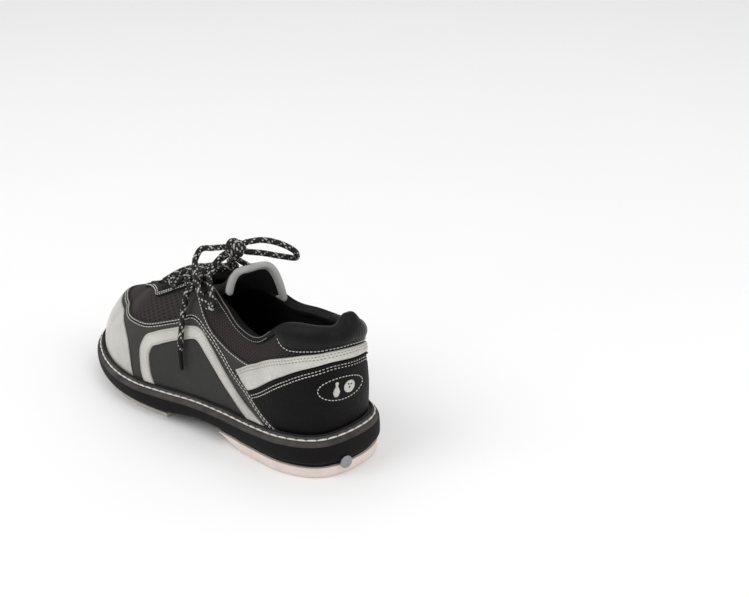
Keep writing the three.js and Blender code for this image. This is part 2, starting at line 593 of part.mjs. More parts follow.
// A folded binding round the free end, standing just outside the edge of the layers.
const RIM_STEPS = 24;
const rim = Array.from({ length: RIM_STEPS + 1 }, (_, i) => {
  const s = (2 * i) / RIM_STEPS - 1;
  const back = Math.max(0, Math.abs(s) - 0.8) * 0.3;
  return tonguePoint(1 - back, s * 1.03, 3.2);
});
add("tongue_binding", cord(rim, 2.0, 8, 22), "binding");

// ---------------------------------------------------------------- the laces
const LACE = 2.2; // radius
const at = (x, y, z) => new THREE.Vector3(x, y, z);
const BARS = [7.5, 7.2, 6.9, 6.6, 6.3]; // where the lace crosses the throat
const HALF_TURN = 0.15;
const overThroat = (u, side, v, lift) => offSkin(side > 0 ? u : RING - u, v, lift);
const zigzag = BARS.flatMap((u, k) => {
  const side = k % 2 ? -1 : 1;
  return [
    overThroat(u, side, 0.95, 4.8),
    overThroat(u, 1, 1.0, 6.2).lerp(overThroat(u, -1, 1.0, 6.2), 0.5),
    overThroat(u, -side, 0.95, 4.8),
    overThroat(u - HALF_TURN, -side, 0.915, 3.8),
  ];
}).slice(0, -1);
// The last crossing rises to just under the knot.
zigzag.push(at(0, -13, 110), at(-11, -8, 116.5), at(-18.5, -4.5, 120.5));
add("lacing", cord(zigzag, LACE, 8, 70), "lace");

const KNOT = at(-22, -2, 130);
const LOOP_FRONT = [
  at(-13.2, 2, 129.5), at(-5.5, 6, 128), at(1.5, 10, 126.6), at(2.6, 15, 120.5), at(-5, 22, 114.9),
  at(-14.5, 28, 108.7), at(-23.5, 31.2, 101.6), at(-29, 29.6, 96.6), at(-27.5, 25.6, 99.8), at(-23, 23.4, 106.4),
  at(-16.5, 19, 112), at(-13.6, 12, 118.5), at(-14, 5, 123.6),
];
const LOOP_MEDIAL = [
  at(-25.5, -10, 133), at(-29.6, -20, 132.4), at(-33.3, -34, 126), at(-37, -44, 117.5), at(-34, -46.8, 111.5),
  at(-29.5, -38, 114), at(-26.2, -23, 120.5), at(-24, -11, 124.8),
];
add("lace_knot", solidOf(new THREE.SphereGeometry(1, 16, 10)
  .scale(8, 7, 6.5)
  .translate(KNOT.x, KNOT.y, KNOT.z)), "lace");
add("lace_loop_front", cord(LOOP_FRONT, LACE, 8, 28), "lace");
add("lace_loop_medial", cord(LOOP_MEDIAL, LACE, 8, 24), "lace");
const down = (side, v, u, lift) => offSkin(side > 0 ? u : RING - u, v, lift);
add("lace_tail_lateral", cord([
  at(-13.2, -0.6, 122.6), at(-8.6, 6.8, 117.2), at(-6, 15, 111.8), at(-3.5, 22.5, 106), down(1, 0.832, 6.2, 8.6),
  down(1, 0.728, 6.136, 6.6), down(1, 0.637, 5.989, 6.4), down(1, 0.495, 5.76, 6.4), down(1, 0.42, 5.66, 6.2),
], LACE, 8, 20), "lace");
const tip = (from, to) => cord([from, from.clone().lerp(to, 0.5), to], 1.7, 8, 2);
add("aglet_lateral", tip(down(1, 0.413, 5.65, 6.1), down(1, 0.28, 5.45, 5.4)), "aglet");
add("lace_tail_medial", cord([
  at(-15, -7.5, 123.5), at(-8, -14, 117), at(-2, -19, 110.5), down(-1, 0.84, 6.05, 8), down(-1, 0.7, 5.95, 6.6),
  down(-1, 0.58, 5.85, 6.4), down(-1, 0.49, 5.8, 6.4), down(-1, 0.42, 5.78, 6.2),
], LACE, 8, 18), "lace");
add("aglet_medial", tip(down(-1, 0.413, 5.78, 6.1), down(-1, 0.28, 5.76, 5.4)), "aglet");

export default group;
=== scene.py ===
import math

import bmesh
import bpy
import numpy as np
from mathutils import Matrix


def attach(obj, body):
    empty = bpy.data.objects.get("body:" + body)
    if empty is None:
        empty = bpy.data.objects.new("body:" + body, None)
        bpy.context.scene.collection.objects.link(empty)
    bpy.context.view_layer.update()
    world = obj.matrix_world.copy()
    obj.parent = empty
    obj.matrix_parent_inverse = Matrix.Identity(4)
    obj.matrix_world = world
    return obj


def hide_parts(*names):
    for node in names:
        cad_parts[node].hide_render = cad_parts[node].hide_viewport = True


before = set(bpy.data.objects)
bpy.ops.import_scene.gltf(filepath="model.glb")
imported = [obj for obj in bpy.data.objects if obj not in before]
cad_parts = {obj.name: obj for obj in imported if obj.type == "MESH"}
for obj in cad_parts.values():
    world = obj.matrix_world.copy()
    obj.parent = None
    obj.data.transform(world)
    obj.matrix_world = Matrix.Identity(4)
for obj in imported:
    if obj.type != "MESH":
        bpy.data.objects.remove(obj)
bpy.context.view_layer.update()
MM = 0.001

# ---------------------------------------------------------------- camera
CAMERA_AT = (-0.78634, 0.60487, 0.53067)  # metres
LOOK_RIGHT = (-0.7055, -0.7079, -0.0346)
LOOK_UP = (0.273, -0.3165, 0.9085)
LOOK_BACK = (-0.654, 0.6315, 0.4165)
camera = bpy.data.objects.new("camera", bpy.data.cameras.new("camera"))
bpy.context.scene.collection.objects.link(camera)
camera.data.lens = 72.1
camera.data.sensor_width = 36
axes = Matrix((LOOK_RIGHT, LOOK_UP, LOOK_BACK)).transposed()
camera.matrix_world = Matrix.Translation(CAMERA_AT) @ axes.to_quaternion().to_matrix().to_4x4()
bpy.context.scene.camera = camera

# ---------------------------------------------------------------- the last, as in the CAD source
FOOT_X = [-132, -126, -104.5, -75, -45, -14, 16, 45, 74, 102, 125, 135.5]
FOOT_Z = [31, 30.3, 29, 27, 25.5, 24.5, 23, 21.5, 21, 21.3, 22.4, 23.3]
FOOT_LATERAL = [0, 22.5, 33.5, 35, 34, 35.5, 40, 43, 40, 30, 13.5, -8.5]
FOOT_MEDIAL = [0, -22.5, -33, -33.5, -33.5, -37, -43.5, -48.5, -49, -43, -29, -8.5]
TOP_X = [-136.5, -129.5, -104, -79, -56, -33.5, -8, 24, 54, 74, 89, 99]
TOP_Z_LATERAL = [105, 109, 107, 89.5, 89.3, 97, 102, 94.5, 84, 75.5, 69.5, 64.5]
TOP_Z_MEDIAL = [105, 102.5, 95, 91.5, 89.5, 97, 102, 94.5, 84, 75.5, 69.5, 64.5]
TOP_LATERAL = [0, 17.5, 26.5, 28, 25.5, 19.5, 12.5, 12, 11, -1, -3, -5]
TOP_MEDIAL = [0, -16, -22, -25.5, -25.5, -22, -15.5, -15, -14, -1, -3, -5]
LOW_OUT = [3, 3, 4, 4, 4, 4, 4, 4, 3.6, 3, 2.5, 2.5]
LOW_UP = [22, 22, 20, 18, 18, 20, 22, 22, 20, 18, 17, 17]
HIGH_OUT = [3, 3.4, 4.6, 4.7, 5.2, 10, 16, 18, 18, 15.7, 13.5, 13.5]
HIGH_DOWN = [22, 22, 18, 16, 16, 14, 8, 5, 3.7, 1.5, 0.6, 0]
CENTRE = np.array([1.6, -3.2, 0])
RING = 22
SPINE = 9
# The pull tab stands up from the top edge at the back of the heel.
TAB_RISE = 8
TAB_AT = -0.14  # its middle, a little to the inner side
TAB_HALF = 0.46  # half its width, in stations
TAB_FROM = 0.78  # the v it grows from


def by_station(lateral, medial=None):
    """One value for each station round the shoe. Without medial, both sides are alike."""
    return np.array(lateral + (medial or lateral)[10:0:-1], float)


def along(values, u):
    """A smooth closed curve through the stations, at every u."""
    u = np.asarray(u, float)
    i = np.floor(u).astype(int)
    w = u - i
    a, b, c, d = (values[(i + k) % RING] for k in (-1, 0, 1, 2))
    cubic = (3 * b - a - 3 * c + d) * w**3
    return 0.5 * (2 * b + (c - a) * w + (2 * a - 5 * b + 4 * c - d) * w**2 + cubic)


foot_x = by_station(FOOT_X)
foot_y = by_station(FOOT_LATERAL, FOOT_MEDIAL)
foot_z = by_station(FOOT_Z)
top_x = by_station(TOP_X)
top_y = by_station(TOP_LATERAL, TOP_MEDIAL)
top_z = by_station(TOP_Z_LATERAL, TOP_Z_MEDIAL)
low_out = by_station(LOW_OUT)
low_up = by_station(LOW_UP)
high_out = by_station(HIGH_OUT)
high_down = by_station(HIGH_DOWN)


def unit(v):
    return v / np.maximum(np.linalg.norm(v, axis=-1, keepdims=True), 1e-9)


def foot(u):
    return np.stack([along(foot_x, u), along(foot_y, u), along(foot_z, u)], -1)


def top(u):
    y = along(top_y, u)
    a = np.mod(u, RING)
    joined = (a > SPINE) & (a < RING - SPINE)
    y = np.where(joined, (y + along(top_y, RING - a)) / 2, y)
    return np.stack([along(top_x, u), y, along(top_z, u)], -1)


def outward(u):
    """The level direction straight out of the shoe."""
    step = foot(np.asarray(u) + 0.02) - foot(np.asarray(u) - 0.02)
    return unit(np.stack([-step[..., 1], step[..., 0], np.zeros(step.shape[:-1])], -1))


UP = np.array([0, 0, 1.0])


def tab(u, v):
    """How far the pull tab lifts a point."""
    across = np.abs(np.mod(np.asarray(u) + RING / 2, RING) - RING / 2 - TAB_AT)
    grown = np.clip((v - TAB_FROM) / (1 - TAB_FROM), 0, None) ** 2
    return TAB_RISE / (1 + (across / TAB_HALF) ** 4) * grown


def skin(u, v):
    """A point on the outside of the upper: u runs round the shoe, v from the sole to the top edge."""
    u, v = np.broadcast_arrays(np.asarray(u, float), np.asarray(v, float))
    out = outward(u)
    low = foot(u)
    high = top(u)
    low_turn = low + out * along(low_out, u)[..., None] + UP * along(low_up, u)[..., None]
    high_turn = high + out * along(high_out, u)[..., None] - UP * along(high_down, u)[..., None]
    t = v[..., None]
    w = 1 - t
    side = low * w**3 + low_turn * 3 * t * w**2 + high_turn * 3 * t**2 * w + high * t**3
    return side + UP * tab(u, v)[..., None]


def normal(u, v):
    u, v = np.broadcast_arrays(np.asarray(u, float), np.asarray(v, float))
    a = np.mod(u, RING)
    v = np.where((a >= SPINE) & (a <= RING - SPINE), np.minimum(v, 0.96), v)
    around = skin(u + 0.03, v) - skin(u - 0.03, v)
    upward = skin(u, v + 0.01) - skin(u, v - 0.01)
    out = -unit(np.cross(around, upward))
    inside = (out * outward(u)).sum(-1) + out[..., 2] < 0
    return np.where(inside[..., None], -out, out)


def raised(u, v, height):
    """A point above the skin, and the way out of it there."""
    out = normal(u, v)
    return skin(u, v) + out * np.asarray(height, float)[..., None], out


def off(u, v, height):
    return raised(u, v, height)[0]


def curve(points, per=12):
    """A smooth line through points, with a number of steps for each gap."""
    p = np.asarray(points, float)
    q = np.vstack([2 * p[0] - p[1], p, 2 * p[-1] - p[-2]])
    w = (np.arange(per) / per)[:, None]
    pieces = []
    for i in range(len(p) - 1):
        a, b, c, d = q[i : i + 4]
        gaps = [max(((y - x) ** 2).sum(), 1e-9) ** 0.25 for x, y in ((a, b), (b, c), (c, d))]
        start = ((b - a) / gaps[0] - (c - a) / (gaps[0] + gaps[1]) + (c - b) / gaps[1]) * gaps[1]
        end = ((c - b) / gaps[1] - (d - b) / (gaps[1] + gaps[2]) + (d - c) / gaps[2]) * gaps[1]
        square = (-3 * b + 3 * c - 2 * start - end) * w**2
        pieces.append(b + start * w + square + (2 * b - 2 * c + start + end) * w**3)
    return np.vstack([*pieces, p[-1:]])


def lengths(points):
    """How far along the line each point lies."""
    steps = np.linalg.norm(np.diff(points, axis=0), axis=1)
    return np.concatenate([[0], np.cumsum(steps)])


def sample(at, s, table):
    """The rows of a table at some places along it, where s is the place of each of its own rows."""
    return np.stack([np.interp(at, s, column) for column in np.transpose(table)], -1)


def spread(points, step):
    """The same line with its points evenly spaced, about step apart."""
    s = lengths(points)
    count = max(2, int(round(s[-1] / step)) + 1)
    return sample(np.linspace(0, s[-1], count), s, points)


# ---------------------------------------------------------------- materials
def srgb(value):
    value = value / 255
    return value / 12.92 if value <= 0.04045 else ((value + 0.055) / 1.055) ** 2.4


def colour(r, g, b):
    return (srgb(r), srgb(g), srgb(b), 1)


def times(rgba, factor):
    """A darker or lighter colour, never brighter than a pale grey."""
    return tuple(min(0.8, factor * c) for c in rgba[:3]) + (1,)


class Shader:
    """A short way to write node trees."""

    def __init__(self, name):
        self.material = bpy.data.materials.new(name)
        self.material.use_nodes = True
        self.tree = self.material.node_tree
        self.bsdf = self.tree.nodes["Principled BSDF"]
        self.place = self.add("ShaderNodeTexCoord").outputs["Object"]
        self.cloth = self.add("ShaderNodeUVMap").outputs["UV"]

    def add(self, kind, inputs=None, **settings):
        node = self.tree.nodes.new(kind)
        for key, value in settings.items():
            setattr(node, key, value)
        for key, value in (inputs or {}).items():
            if isinstance(value, bpy.types.NodeSocket):
                self.tree.links.new(value, node.inputs[key])
            else:
                node.inputs[key].default_value = value
        return node

    def noise(self, scale, detail=3, rough=0.6, vector=None):
        inputs = {"Vector": vector or self.place, "Scale": scale, "Detail": detail, "Roughness": rough}
        return self.add("ShaderNodeTexNoise", inputs).outputs["Fac"]

    def cells(self, scale, feature="F1", vector=None):
        inputs = {"Vector": vector or self.place, "Scale": scale}
        return self.add("ShaderNodeTexVoronoi", inputs, feature=feature).outputs["Distance"]

    def turned(self, degrees, scale=(1, 1, 1)):
        inputs = {"Vector": self.cloth, "Rotation": (0, 0, math.radians(degrees)), "Scale": scale}
        return self.add("ShaderNodeMapping", inputs).outputs["Vector"]

    def wave(self, vector, scale, distortion=0.0):
        inputs = {"Vector": vector, "Scale": scale, "Distortion": distortion}
        return self.add("ShaderNodeTexWave", inputs).outputs["Fac"]

    def math(self, operation, a, b=0.0):
        return self.add("ShaderNodeMath", {0: a, 1: b}, operation=operation).outputs[0]

    def span(self, value, low, high, start=0.0, end=1.0):
        inputs = {"Value": value, "From Min": start, "From Max": end, "To Min": low, "To Max": high}
        return self.add("ShaderNodeMapRange", inputs).outputs["Result"]

    def mix(self, amount, a, b):
        return self.add("ShaderNodeMix", {0: amount, 6: a, 7: b}, data_type="RGBA").outputs[2]

    def edge(self):
        """0 at the cut edge of a panel, 1 well inside it."""
        return self.add("ShaderNodeAttribute", attribute_name="edge").outputs["Fac"]

    def bumps(self, *layers):
        """Layers of (height, strength, depth in mm), each on top of the last."""
        last = None
        for height, strength, depth in layers:
            inputs = {"Height": height, "Strength": strength, "Distance": depth * MM}
            if last:
                inputs["Normal"] = last
            last = self.add("ShaderNodeBump", inputs).outputs["Normal"]
        self.tree.links.new(last, self.bsdf.inputs["Normal"])

    def finish(self, base, rough, **fixed):
        self.tree.links.new(base, self.bsdf.inputs["Base Color"])
        self.tree.links.new(rough, self.bsdf.inputs["Roughness"])
        for key, value in fixed.items():
            self.bsdf.inputs[key.replace("_", " ")].default_value = value
        return self.material


def nubuck(name, dark, light):
    """Brushed leather: soft patches, a very fine nap and a darker cut edge."""
    s = Shader(name)
    dark, light = colour(*dark), colour(*light)
    patches = s.span(s.noise(38, 4), 0, 1, 0.3, 0.72)
    nap = s.noise(1500, 2, 0.7)
    base = s.mix(patches, dark, light)
    base = s.mix(s.span(nap, 0, 0.5, 0.35, 0.75), base, times(light, 1.5))
    base = s.mix(s.span(s.edge(), 0.65, 0, 0, 0.5), base, times(dark, 0.35))
    s.bumps((s.noise(120, 3), 0.35, 0.5), (s.cells(900), 0.35, 0.16), (nap, 0.5, 0.12))
    return s.finish(base, s.span(patches, 0.72, 0.9), Specular_IOR_Level=0.2)


def grained(name, dark, light, rough, coat=0.0):
    """Leather with a pebbled grain, dark pores, a darker cut edge and a slight shine."""
    s = Shader(name)
    dark, light = colour(*dark), colour(*light)
    patches = s.span(s.noise(30, 4), 0, 1, 0.3, 0.7)
    pebbles = s.cells(620)
    pores = s.cells(1700, "DISTANCE_TO_EDGE")
    base = s.mix(patches, dark, light)
    base = s.mix(s.span(pores, 0.6, 0, 0, 0.12), base, times(dark, 0.3))
    base = s.mix(s.span(s.edge(), 0.6, 0, 0, 0.5), base, times(dark, 0.4))
    s.bumps((s.noise(90, 4), 0.3, 0.6), (pebbles, 0.7, 0.3), (s.span(pores, 0, 1, 0, 0.2), 0.4, 0.08))
    roughness = s.span(s.math("ADD", patches, pebbles), rough - 0.07, rough + 0.1, 0.2, 1.4)
    return s.finish(base, roughness, Coat_Weight=coat, Coat_Roughness=0.35, Specular_IOR_Level=0.13)


def spacer_mesh(name, thread, hole):
    """Knitted mesh: slanting ribs crossed by short bars, with holes between them painted near black: the
    black lining behind them, darkened further as painted shade.
    """
    s = Shader(name)
    thread, hole = colour(*thread), colour(*hole)
    ribs = s.wave(s.turned(34), 1.3, 0.3)
    bars = s.wave(s.turned(-46), 1.3, 0.3)
    net = s.math("MAXIMUM", s.span(ribs, 0, 1, 0.4, 0.8), s.span(bars, 0, 1, 0.3, 0.7))
    fibre = s.noise(1400, 2)
    # Between the threads the colour is the near-black hole colour: the black lining and painted shade in the
    # holes.
    base = s.mix(net, hole, thread)
    base = s.mix(s.span(fibre, 0, 0.5, 0.4, 0.8), base, times(thread, 1.7))
    s.bumps((net, 0.9, 0.45), (fibre, 0.4, 0.12))
    return s.finish(base, s.span(fibre, 0.6, 0.85), Specular_IOR_Level=0.25)


def woven(name, dark, light, scale, rough=0.85):
    """A close plain weave."""
    s = Shader(name)
    dark, light = colour(*dark), colour(*light)
    warp = s.wave(s.turned(0), scale, 0.2)
    weft = s.wave(s.turned(90), scale * 0.8, 0.2)
    cloth = s.math("MULTIPLY", warp, weft)
    patches = s.noise(60, 3)
    base = s.mix(s.span(s.math("ADD", cloth, patches), 0, 1, 0.3, 1.2), dark, light)
    s.bumps((cloth, 0.6, 0.25), (s.noise(1200, 2), 0.4, 0.12))
    return s.finish(base, s.span(patches, rough - 0.1, rough + 0.08), Specular_IOR_Level=0.25)


def rubber(name, dark, light, rough):
    """Moulded rubber: a fine texture, soft patches and scuffs."""
    s = Shader(name)
    dark, light = colour(*dark), colour(*light)
    patches = s.noise(45, 5, 0.7)
    scuffs = s.span(s.noise(420, 3, 0.8), 0, 1, 0.55, 0.75)
    base = s.mix(s.span(patches, 0, 1, 0.35, 0.7), dark, light)
    base = s.mix(s.math("MULTIPLY", scuffs, 0.3), base, times(light, 2))
    s.bumps((s.noise(300, 4), 0.35, 0.2), (s.noise(1500, 2), 0.4, 0.08))
    return s.finish(base, s.span(patches, rough - 0.1, rough + 0.12), Specular_IOR_Level=0.15)


def fibrous(name, dark, light, scale, depth, rough=0.92):
    """Foam, felt, board and hook or loop fabric: a field of small raised cells."""
    s = Shader(name)
    dark, light = colour(*dark), colour(*light)
    cells = s.cells(scale)
    patches = s.noise(50, 4)
    base = s.mix(s.span(s.math("ADD", cells, patches), 0, 1, 0.4, 1.3), light, dark)
    s.bumps((cells, 0.8, depth), (s.noise(scale * 2, 3), 0.4, depth / 3))
    return s.finish(base, s.span(patches, rough - 0.08, min(1.0, rough + 0.06)), Specular_IOR_Level=0.25)


def brushed_steel(name):
    s = Shader(name)
    streaked = s.add("ShaderNodeMapping", {"Vector": s.place, "Scale": (0.05, 1, 1)}).outputs[0]
    lines = s.noise(300, 4, 0.7, streaked)
    base = s.mix(lines, colour(120, 122, 126), colour(190, 192, 196))
    s.bumps((lines, 0.3, 0.05))
    return s.finish(base, s.span(lines, 0.25, 0.45), Metallic=1.0)


def thread(name, dark, light):
    """Twisted sewing thread."""
    s = Shader(name)
    dark, light = colour(*dark), colour(*light)
    twist = s.wave(s.turned(40), 30, 0.5)
    lint = s.noise(900, 2)
    base = s.mix(s.math("MULTIPLY", twist, s.span(lint, 0.6, 1.2)), dark, light)
    s.bumps((twist, 0.6, 0.08), (s.noise(2500, 2), 0.5, 0.04))
    return s.finish(base, s.span(lint, 0.5, 0.75), Specular_IOR_Level=0.3)


def clear_film(name):
    s = Shader(name)
    base = s.mix(s.noise(90, 3), colour(120, 120, 124), colour(152, 152, 156))
    s.bumps((s.noise(200, 3), 0.2, 0.1))
    return s.finish(base, s.span(s.noise(120, 3), 0.16, 0.32), Coat_Weight=0.4)


NUBUCK = nubuck("nubuck_charcoal", (52, 50, 48), (68, 66, 63))
SADDLE = nubuck("nubuck_saddle", (44, 42, 41), (62, 60, 58))
PANEL = nubuck("panel_charcoal", (44, 44, 43), (58, 58, 56))
GRAIN = grained("grain_black", (8, 7, 8), (16, 14, 15), 0.54)
COLLAR = grained("collar_black", (8, 8, 8), (17, 17, 17), 0.4, 0.06)
PALE = grained("pale_leather", (194, 192, 186), (224, 222, 215), 0.5, 0.05)
TOE = grained("toe_leather", (198, 196, 190), (228, 226, 218), 0.48, 0.05)
# The hole colour is darker than the lining: painted shade in the mesh holes.
MESH = spacer_mesh("mesh_black", (47, 39, 40), (3, 3, 3))
LINING = woven("lining_black", (9, 9, 10), (24, 23, 25), 9)
BINDING = woven("binding_grey", (140, 139, 138), (196, 195, 193), 11)
TRIM = grained("trim_black", (13, 12, 13), (25, 24, 25), 0.55)
RUBBER = rubber("rubber_black", (10, 8, 8), (20, 17, 17), 0.66)
# A lighter grey rubber for the top of the sole's rim: a painted highlight where light falls on the rim's top.
LIT_RIM_RUBBER = rubber("rubber_rim_highlight", (56, 53, 52), (86, 83, 80), 0.78)
PAD = rubber("pad_offwhite", (226, 210, 203), (238, 225, 219), 0.6)
FOAM = fibrous("foam", (150, 142, 128), (196, 188, 172), 900, 0.3)
LOOP = fibrous("loop_black", (12, 12, 14), (46, 46, 50), 1100, 0.6)
HOOK = fibrous("hook_black", (16, 16, 18), (58, 58, 62), 700, 0.9)
MICROFIBRE = fibrous("microfibre", (176, 172, 164), (216, 212, 204), 1500, 0.15, 0.9)
BOARD = fibrous("fibre_board", (104, 88, 64), (156, 138, 108), 350, 0.25)
CORK = fibrous("cork_filler", (94, 66, 42), (160, 122, 84), 260, 0.4)
STEEL = brushed_steel("shank_steel")
SOCK = woven("sock_fabric", (14, 14, 15), (34, 33, 35), 12)
THREAD = thread("thread_white", (196, 194, 188), (246, 244, 238))
TONAL = thread("thread_pale", (112, 109, 104), (158, 155, 149))
BLACK_THREAD = thread("thread_black", (10, 10, 11), (38, 37, 38))
# Grey cord along the top line: real piping, and on the medial side a painted highlight on the collar's
# padding.
PIPING_HIGHLIGHT = thread("piping_grey_highlight", (84, 82, 80), (128, 126, 123))
LACE_BLACK = thread("lace_black", (8, 8, 9), (30, 29, 30))
LACE_WHITE = thread("lace_white", (140, 139, 135), (214, 212, 206))
AGLET = rubber("aglet_black", (10, 10, 11), (26, 25, 26), 0.3)
FILM = clear_film("label_film")


# ---------------------------------------------------------------- meshes
UV_UNIT = 10  # millimetres of cloth to one unit of its map


def build(name, points, faces, look, replaces=(), slot=None, body="shoe", cloth=None, edge=None,
          sharp=42, face_look=None, weld=False):
    """Makes one piece from points in last millimetres. Its faces turn outwards if it is closed.

    look is one material, or a list of them with face_look saying which is on each face. cloth is each
    point's place on the flat material in millimetres, and edge is 0 at the cut edge of a panel.
    """
    points = (np.asarray(points, float).reshape(-1, 3) - CENTRE) * MM
    faces = np.asarray(faces, int)
    a, b, c, d = (points[faces[:, k]] for k in range(4))
    volume = (a * np.cross(b, c)).sum() + (a * np.cross(c, d)).sum()
    if volume < 0:
        faces = faces[:, ::-1]
    corners = [[v for k, v in enumerate(face) if v != face[k - 1]] for face in faces.tolist()]
    mesh = bpy.data.meshes.new(name)
    mesh.from_pydata(points.tolist(), [], corners)
    for item in look if isinstance(look, list) else [look]:
        mesh.materials.append(item)
    if face_look is not None:
        mesh.polygons.foreach_set("material_index", np.asarray(face_look, np.int32))
    loops = np.zeros(len(mesh.loops), np.int32)
    mesh.loops.foreach_get("vertex_index", loops)
    flat = points[:, :2] / MM if cloth is None else np.asarray(cloth)
    layer = mesh.uv_layers.new(name="cloth")
    layer.data.foreach_set("uv", (flat / UV_UNIT).astype(np.float32)[loops].ravel())
    values = np.ones(len(points)) if edge is None else edge
    mesh.attributes.new("edge", "FLOAT", "POINT").data.foreach_set("value", values.astype(np.float32))
    if weld:
        edit = bmesh.new()
        edit.from_mesh(mesh)
        bmesh.ops.remove_doubles(edit, verts=edit.verts, dist=0.02 * MM)
        edit.to_mesh(mesh)
        edit.free()
    mesh.validate()
    mesh.polygons.foreach_set("use_smooth", np.ones(len(mesh.polygons), bool))
    mesh.set_sharp_from_angle(angle=math.radians(sharp))
    piece = bpy.data.objects.new(name, mesh)
    bpy.context.scene.collection.objects.link(piece)
    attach(piece, body)
    if replaces:
        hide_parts(*replaces)
    return piece


def grid_faces(n, m, start=0, around=False):
    """Quads of a grid of n rows of m points. Around joins the last point of a row to its first."""
    i, j = np.meshgrid(np.arange(n - 1), np.arange(m if around else m - 1), indexing="ij")
    k = (j + 1) % m
    faces = np.stack([i * m + j, (i + 1) * m + j, (i + 1) * m + k, i * m + k], -1)
    return faces.reshape(-1, 4) + start


def wall(first, second):
    """Quads between two lines of point numbers."""
    first, second = np.asarray(first), np.asarray(second)
    return np.stack([first[:-1], first[1:], second[1:], second[:-1]], 1)


def two_sided(front, back, open_top=None):
    """Points and faces of a closed shell between two grids of the same shape."""
    n, m = front.shape[:2]
    index = np.arange(n * m).reshape(n, m)
    low = index + n * m
    top_wall = wall(index[:, -1], low[:, -1])
    if open_top is not None:
        top_wall = top_wall[~(open_top[:-1] & open_top[1:])]
    faces = [grid_faces(n, m), grid_faces(n, m, n * m)[:, ::-1], wall(low[:, 0], index[:, 0]),
             top_wall, wall(index[0], low[0]), wall(low[-1], index[-1])]
    return np.concatenate([front.reshape(-1, 3), back.reshape(-1, 3)]), np.concatenate(faces)


def circle(count, one, two):
    """A unit circle laid out by two directions, or one at each point of a path that has two of them."""
    angle = 2 * np.pi * np.arange(count) / count
    return np.cos(angle)[:, None] * one[..., None, :] + np.sin(angle)[:, None] * two[..., None, :]


def closed_tube(rings, ends, cloth=None):
    """Points, faces and cloth places of a tube of rings, drawn in to a middle point at each end."""
    n, m = rings.shape[:2]
    here = np.arange(m)
    there = (here + 1) % m
    hub = np.full(m, n * m)
    first = np.stack([there, here, hub, hub], 1)
    last = np.stack([here + (n - 1) * m, there + (n - 1) * m, hub + 1, hub + 1], 1)
    faces = np.concatenate([grid_faces(n, m, around=True), first, last])
    if cloth is not None:
        cloth = np.vstack([cloth, cloth[[0, (n - 1) * m]]])
    return np.vstack([rings.reshape(-1, 3), ends]), faces, cloth


def merged(parts):
    """Several meshes as one. Each part is its points, its faces and whatever goes with them."""
    starts = np.cumsum([0] + [len(part[0]) for part in parts])
    faces = [part[1] + start for part, start in zip(parts, starts)]
    points, _, *others = zip(*parts)
    return [np.concatenate(column) for column in (points, faces, *others)]


EDGE_ROWS = (0, 0.12, 0.35, 0.7, 1.2)


def edge_spaced(length, step):
    """Shares from 0 to 1 along a length, close together near both ends."""
    if length < 5:
        return np.linspace(0, 1, 9)
    ends = np.array(EDGE_ROWS) / length
    count = max(2, int((length - 2 * EDGE_ROWS[-1]) / step))
    middle = np.linspace(ends[-1], 1 - ends[-1], count + 1)[1:-1]
    return np.concatenate([ends, middle, 1 - ends[::-1]])


SEAM_WIDTH = 1.1
SEAM_DEPTH = 0.4


def seam_dip(grid, seams):
    """How near each point of a grid is to a seam, from 0 to 1."""
    dip = np.zeros(grid.shape[:2])
    flat = grid.reshape(-1, 3)
    for line in seams:
        nearest = np.full(len(flat), 1e9)
        for point in spread(line, 1.2):
            nearest = np.minimum(nearest, ((flat - point) ** 2).sum(1))
        dip = np.maximum(dip, np.exp(-nearest / SEAM_WIDTH**2).reshape(dip.shape))
    return dip


def inset(distance, width):
    """0 at an edge, rising to 1 at some width from it."""
    return np.clip(distance / width, 0, 1)


def panel(name, rungs, inner, outer, look, replaces, slot, step=1.6, seams=(), lift=None, side=1):
    """A sewn panel between two lines of the upper. Each rung is (lower (u, v), upper (u, v))."""
    low, high = (curve([rung[k] for rung in rungs], 10) for k in (0, 1))
    if side < 0:
        low, high = (np.stack([RING - line[:, 0], line[:, 1]], 1) for line in (low, high))
    s = lengths(skin(*((low + high) / 2).T))
    x = edge_spaced(s[-1], step) * s[-1]
    low, high = (sample(x, s, line) for line in (low, high))
    rise = np.linalg.norm(skin(*high.T) - skin(*low.T), axis=1)
    across = edge_spaced(float(np.percentile(rise, 70)), step)
    y = across[None, :] * rise[:, None]
    u, v = np.moveaxis(low[:, None] + (high - low)[:, None] * across[None, :, None], -1, 0)
    border = np.minimum(np.minimum(x, x[-1] - x)[:, None], np.minimum(y, rise[:, None] - y))
    rolled_edge = np.sqrt(1 - (1 - inset(border, 0.9)) ** 2)
    height = inner + (outer - inner) * (0.25 + 0.75 * rolled_edge)
    if lift is not None:
        height = height + lift(u, v) * inset(border, 3)
    if seams:
        height = height - SEAM_DEPTH * seam_dip(off(u, v, height), seams) * inset(border, 0.8)
    points, faces = two_sided(off(u, v, height), off(u, v, np.full(u.shape, inner)))
    sheet = np.stack([np.broadcast_to(x[:, None], u.shape), y], -1).reshape(-1, 2)
    return build(name, points, faces, look, replaces, slot, cloth=np.tile(sheet, (2, 1)),
                 edge=np.tile(inset(border, 1.6).ravel(), 2))


def frames_along(path):
    """Two directions square to the path at each point, carried along without twisting."""
    run = unit(np.gradient(path, axis=0))
    first = np.cross(run[0], [0.3, 0.2, 1.0])
    side = [first / np.linalg.norm(first)]
    for direction in run[1:]:
        moved = side[-1] - direction * side[-1].dot(direction)
        side.append(moved / np.linalg.norm(moved))
    side = np.array(side)
    return side, np.cross(run, side)


YARNS = 8
PICK = 1.9  # length of one braid cell along the lace
LACE_RADIUS = 2.2
LACE_SIDES = 24


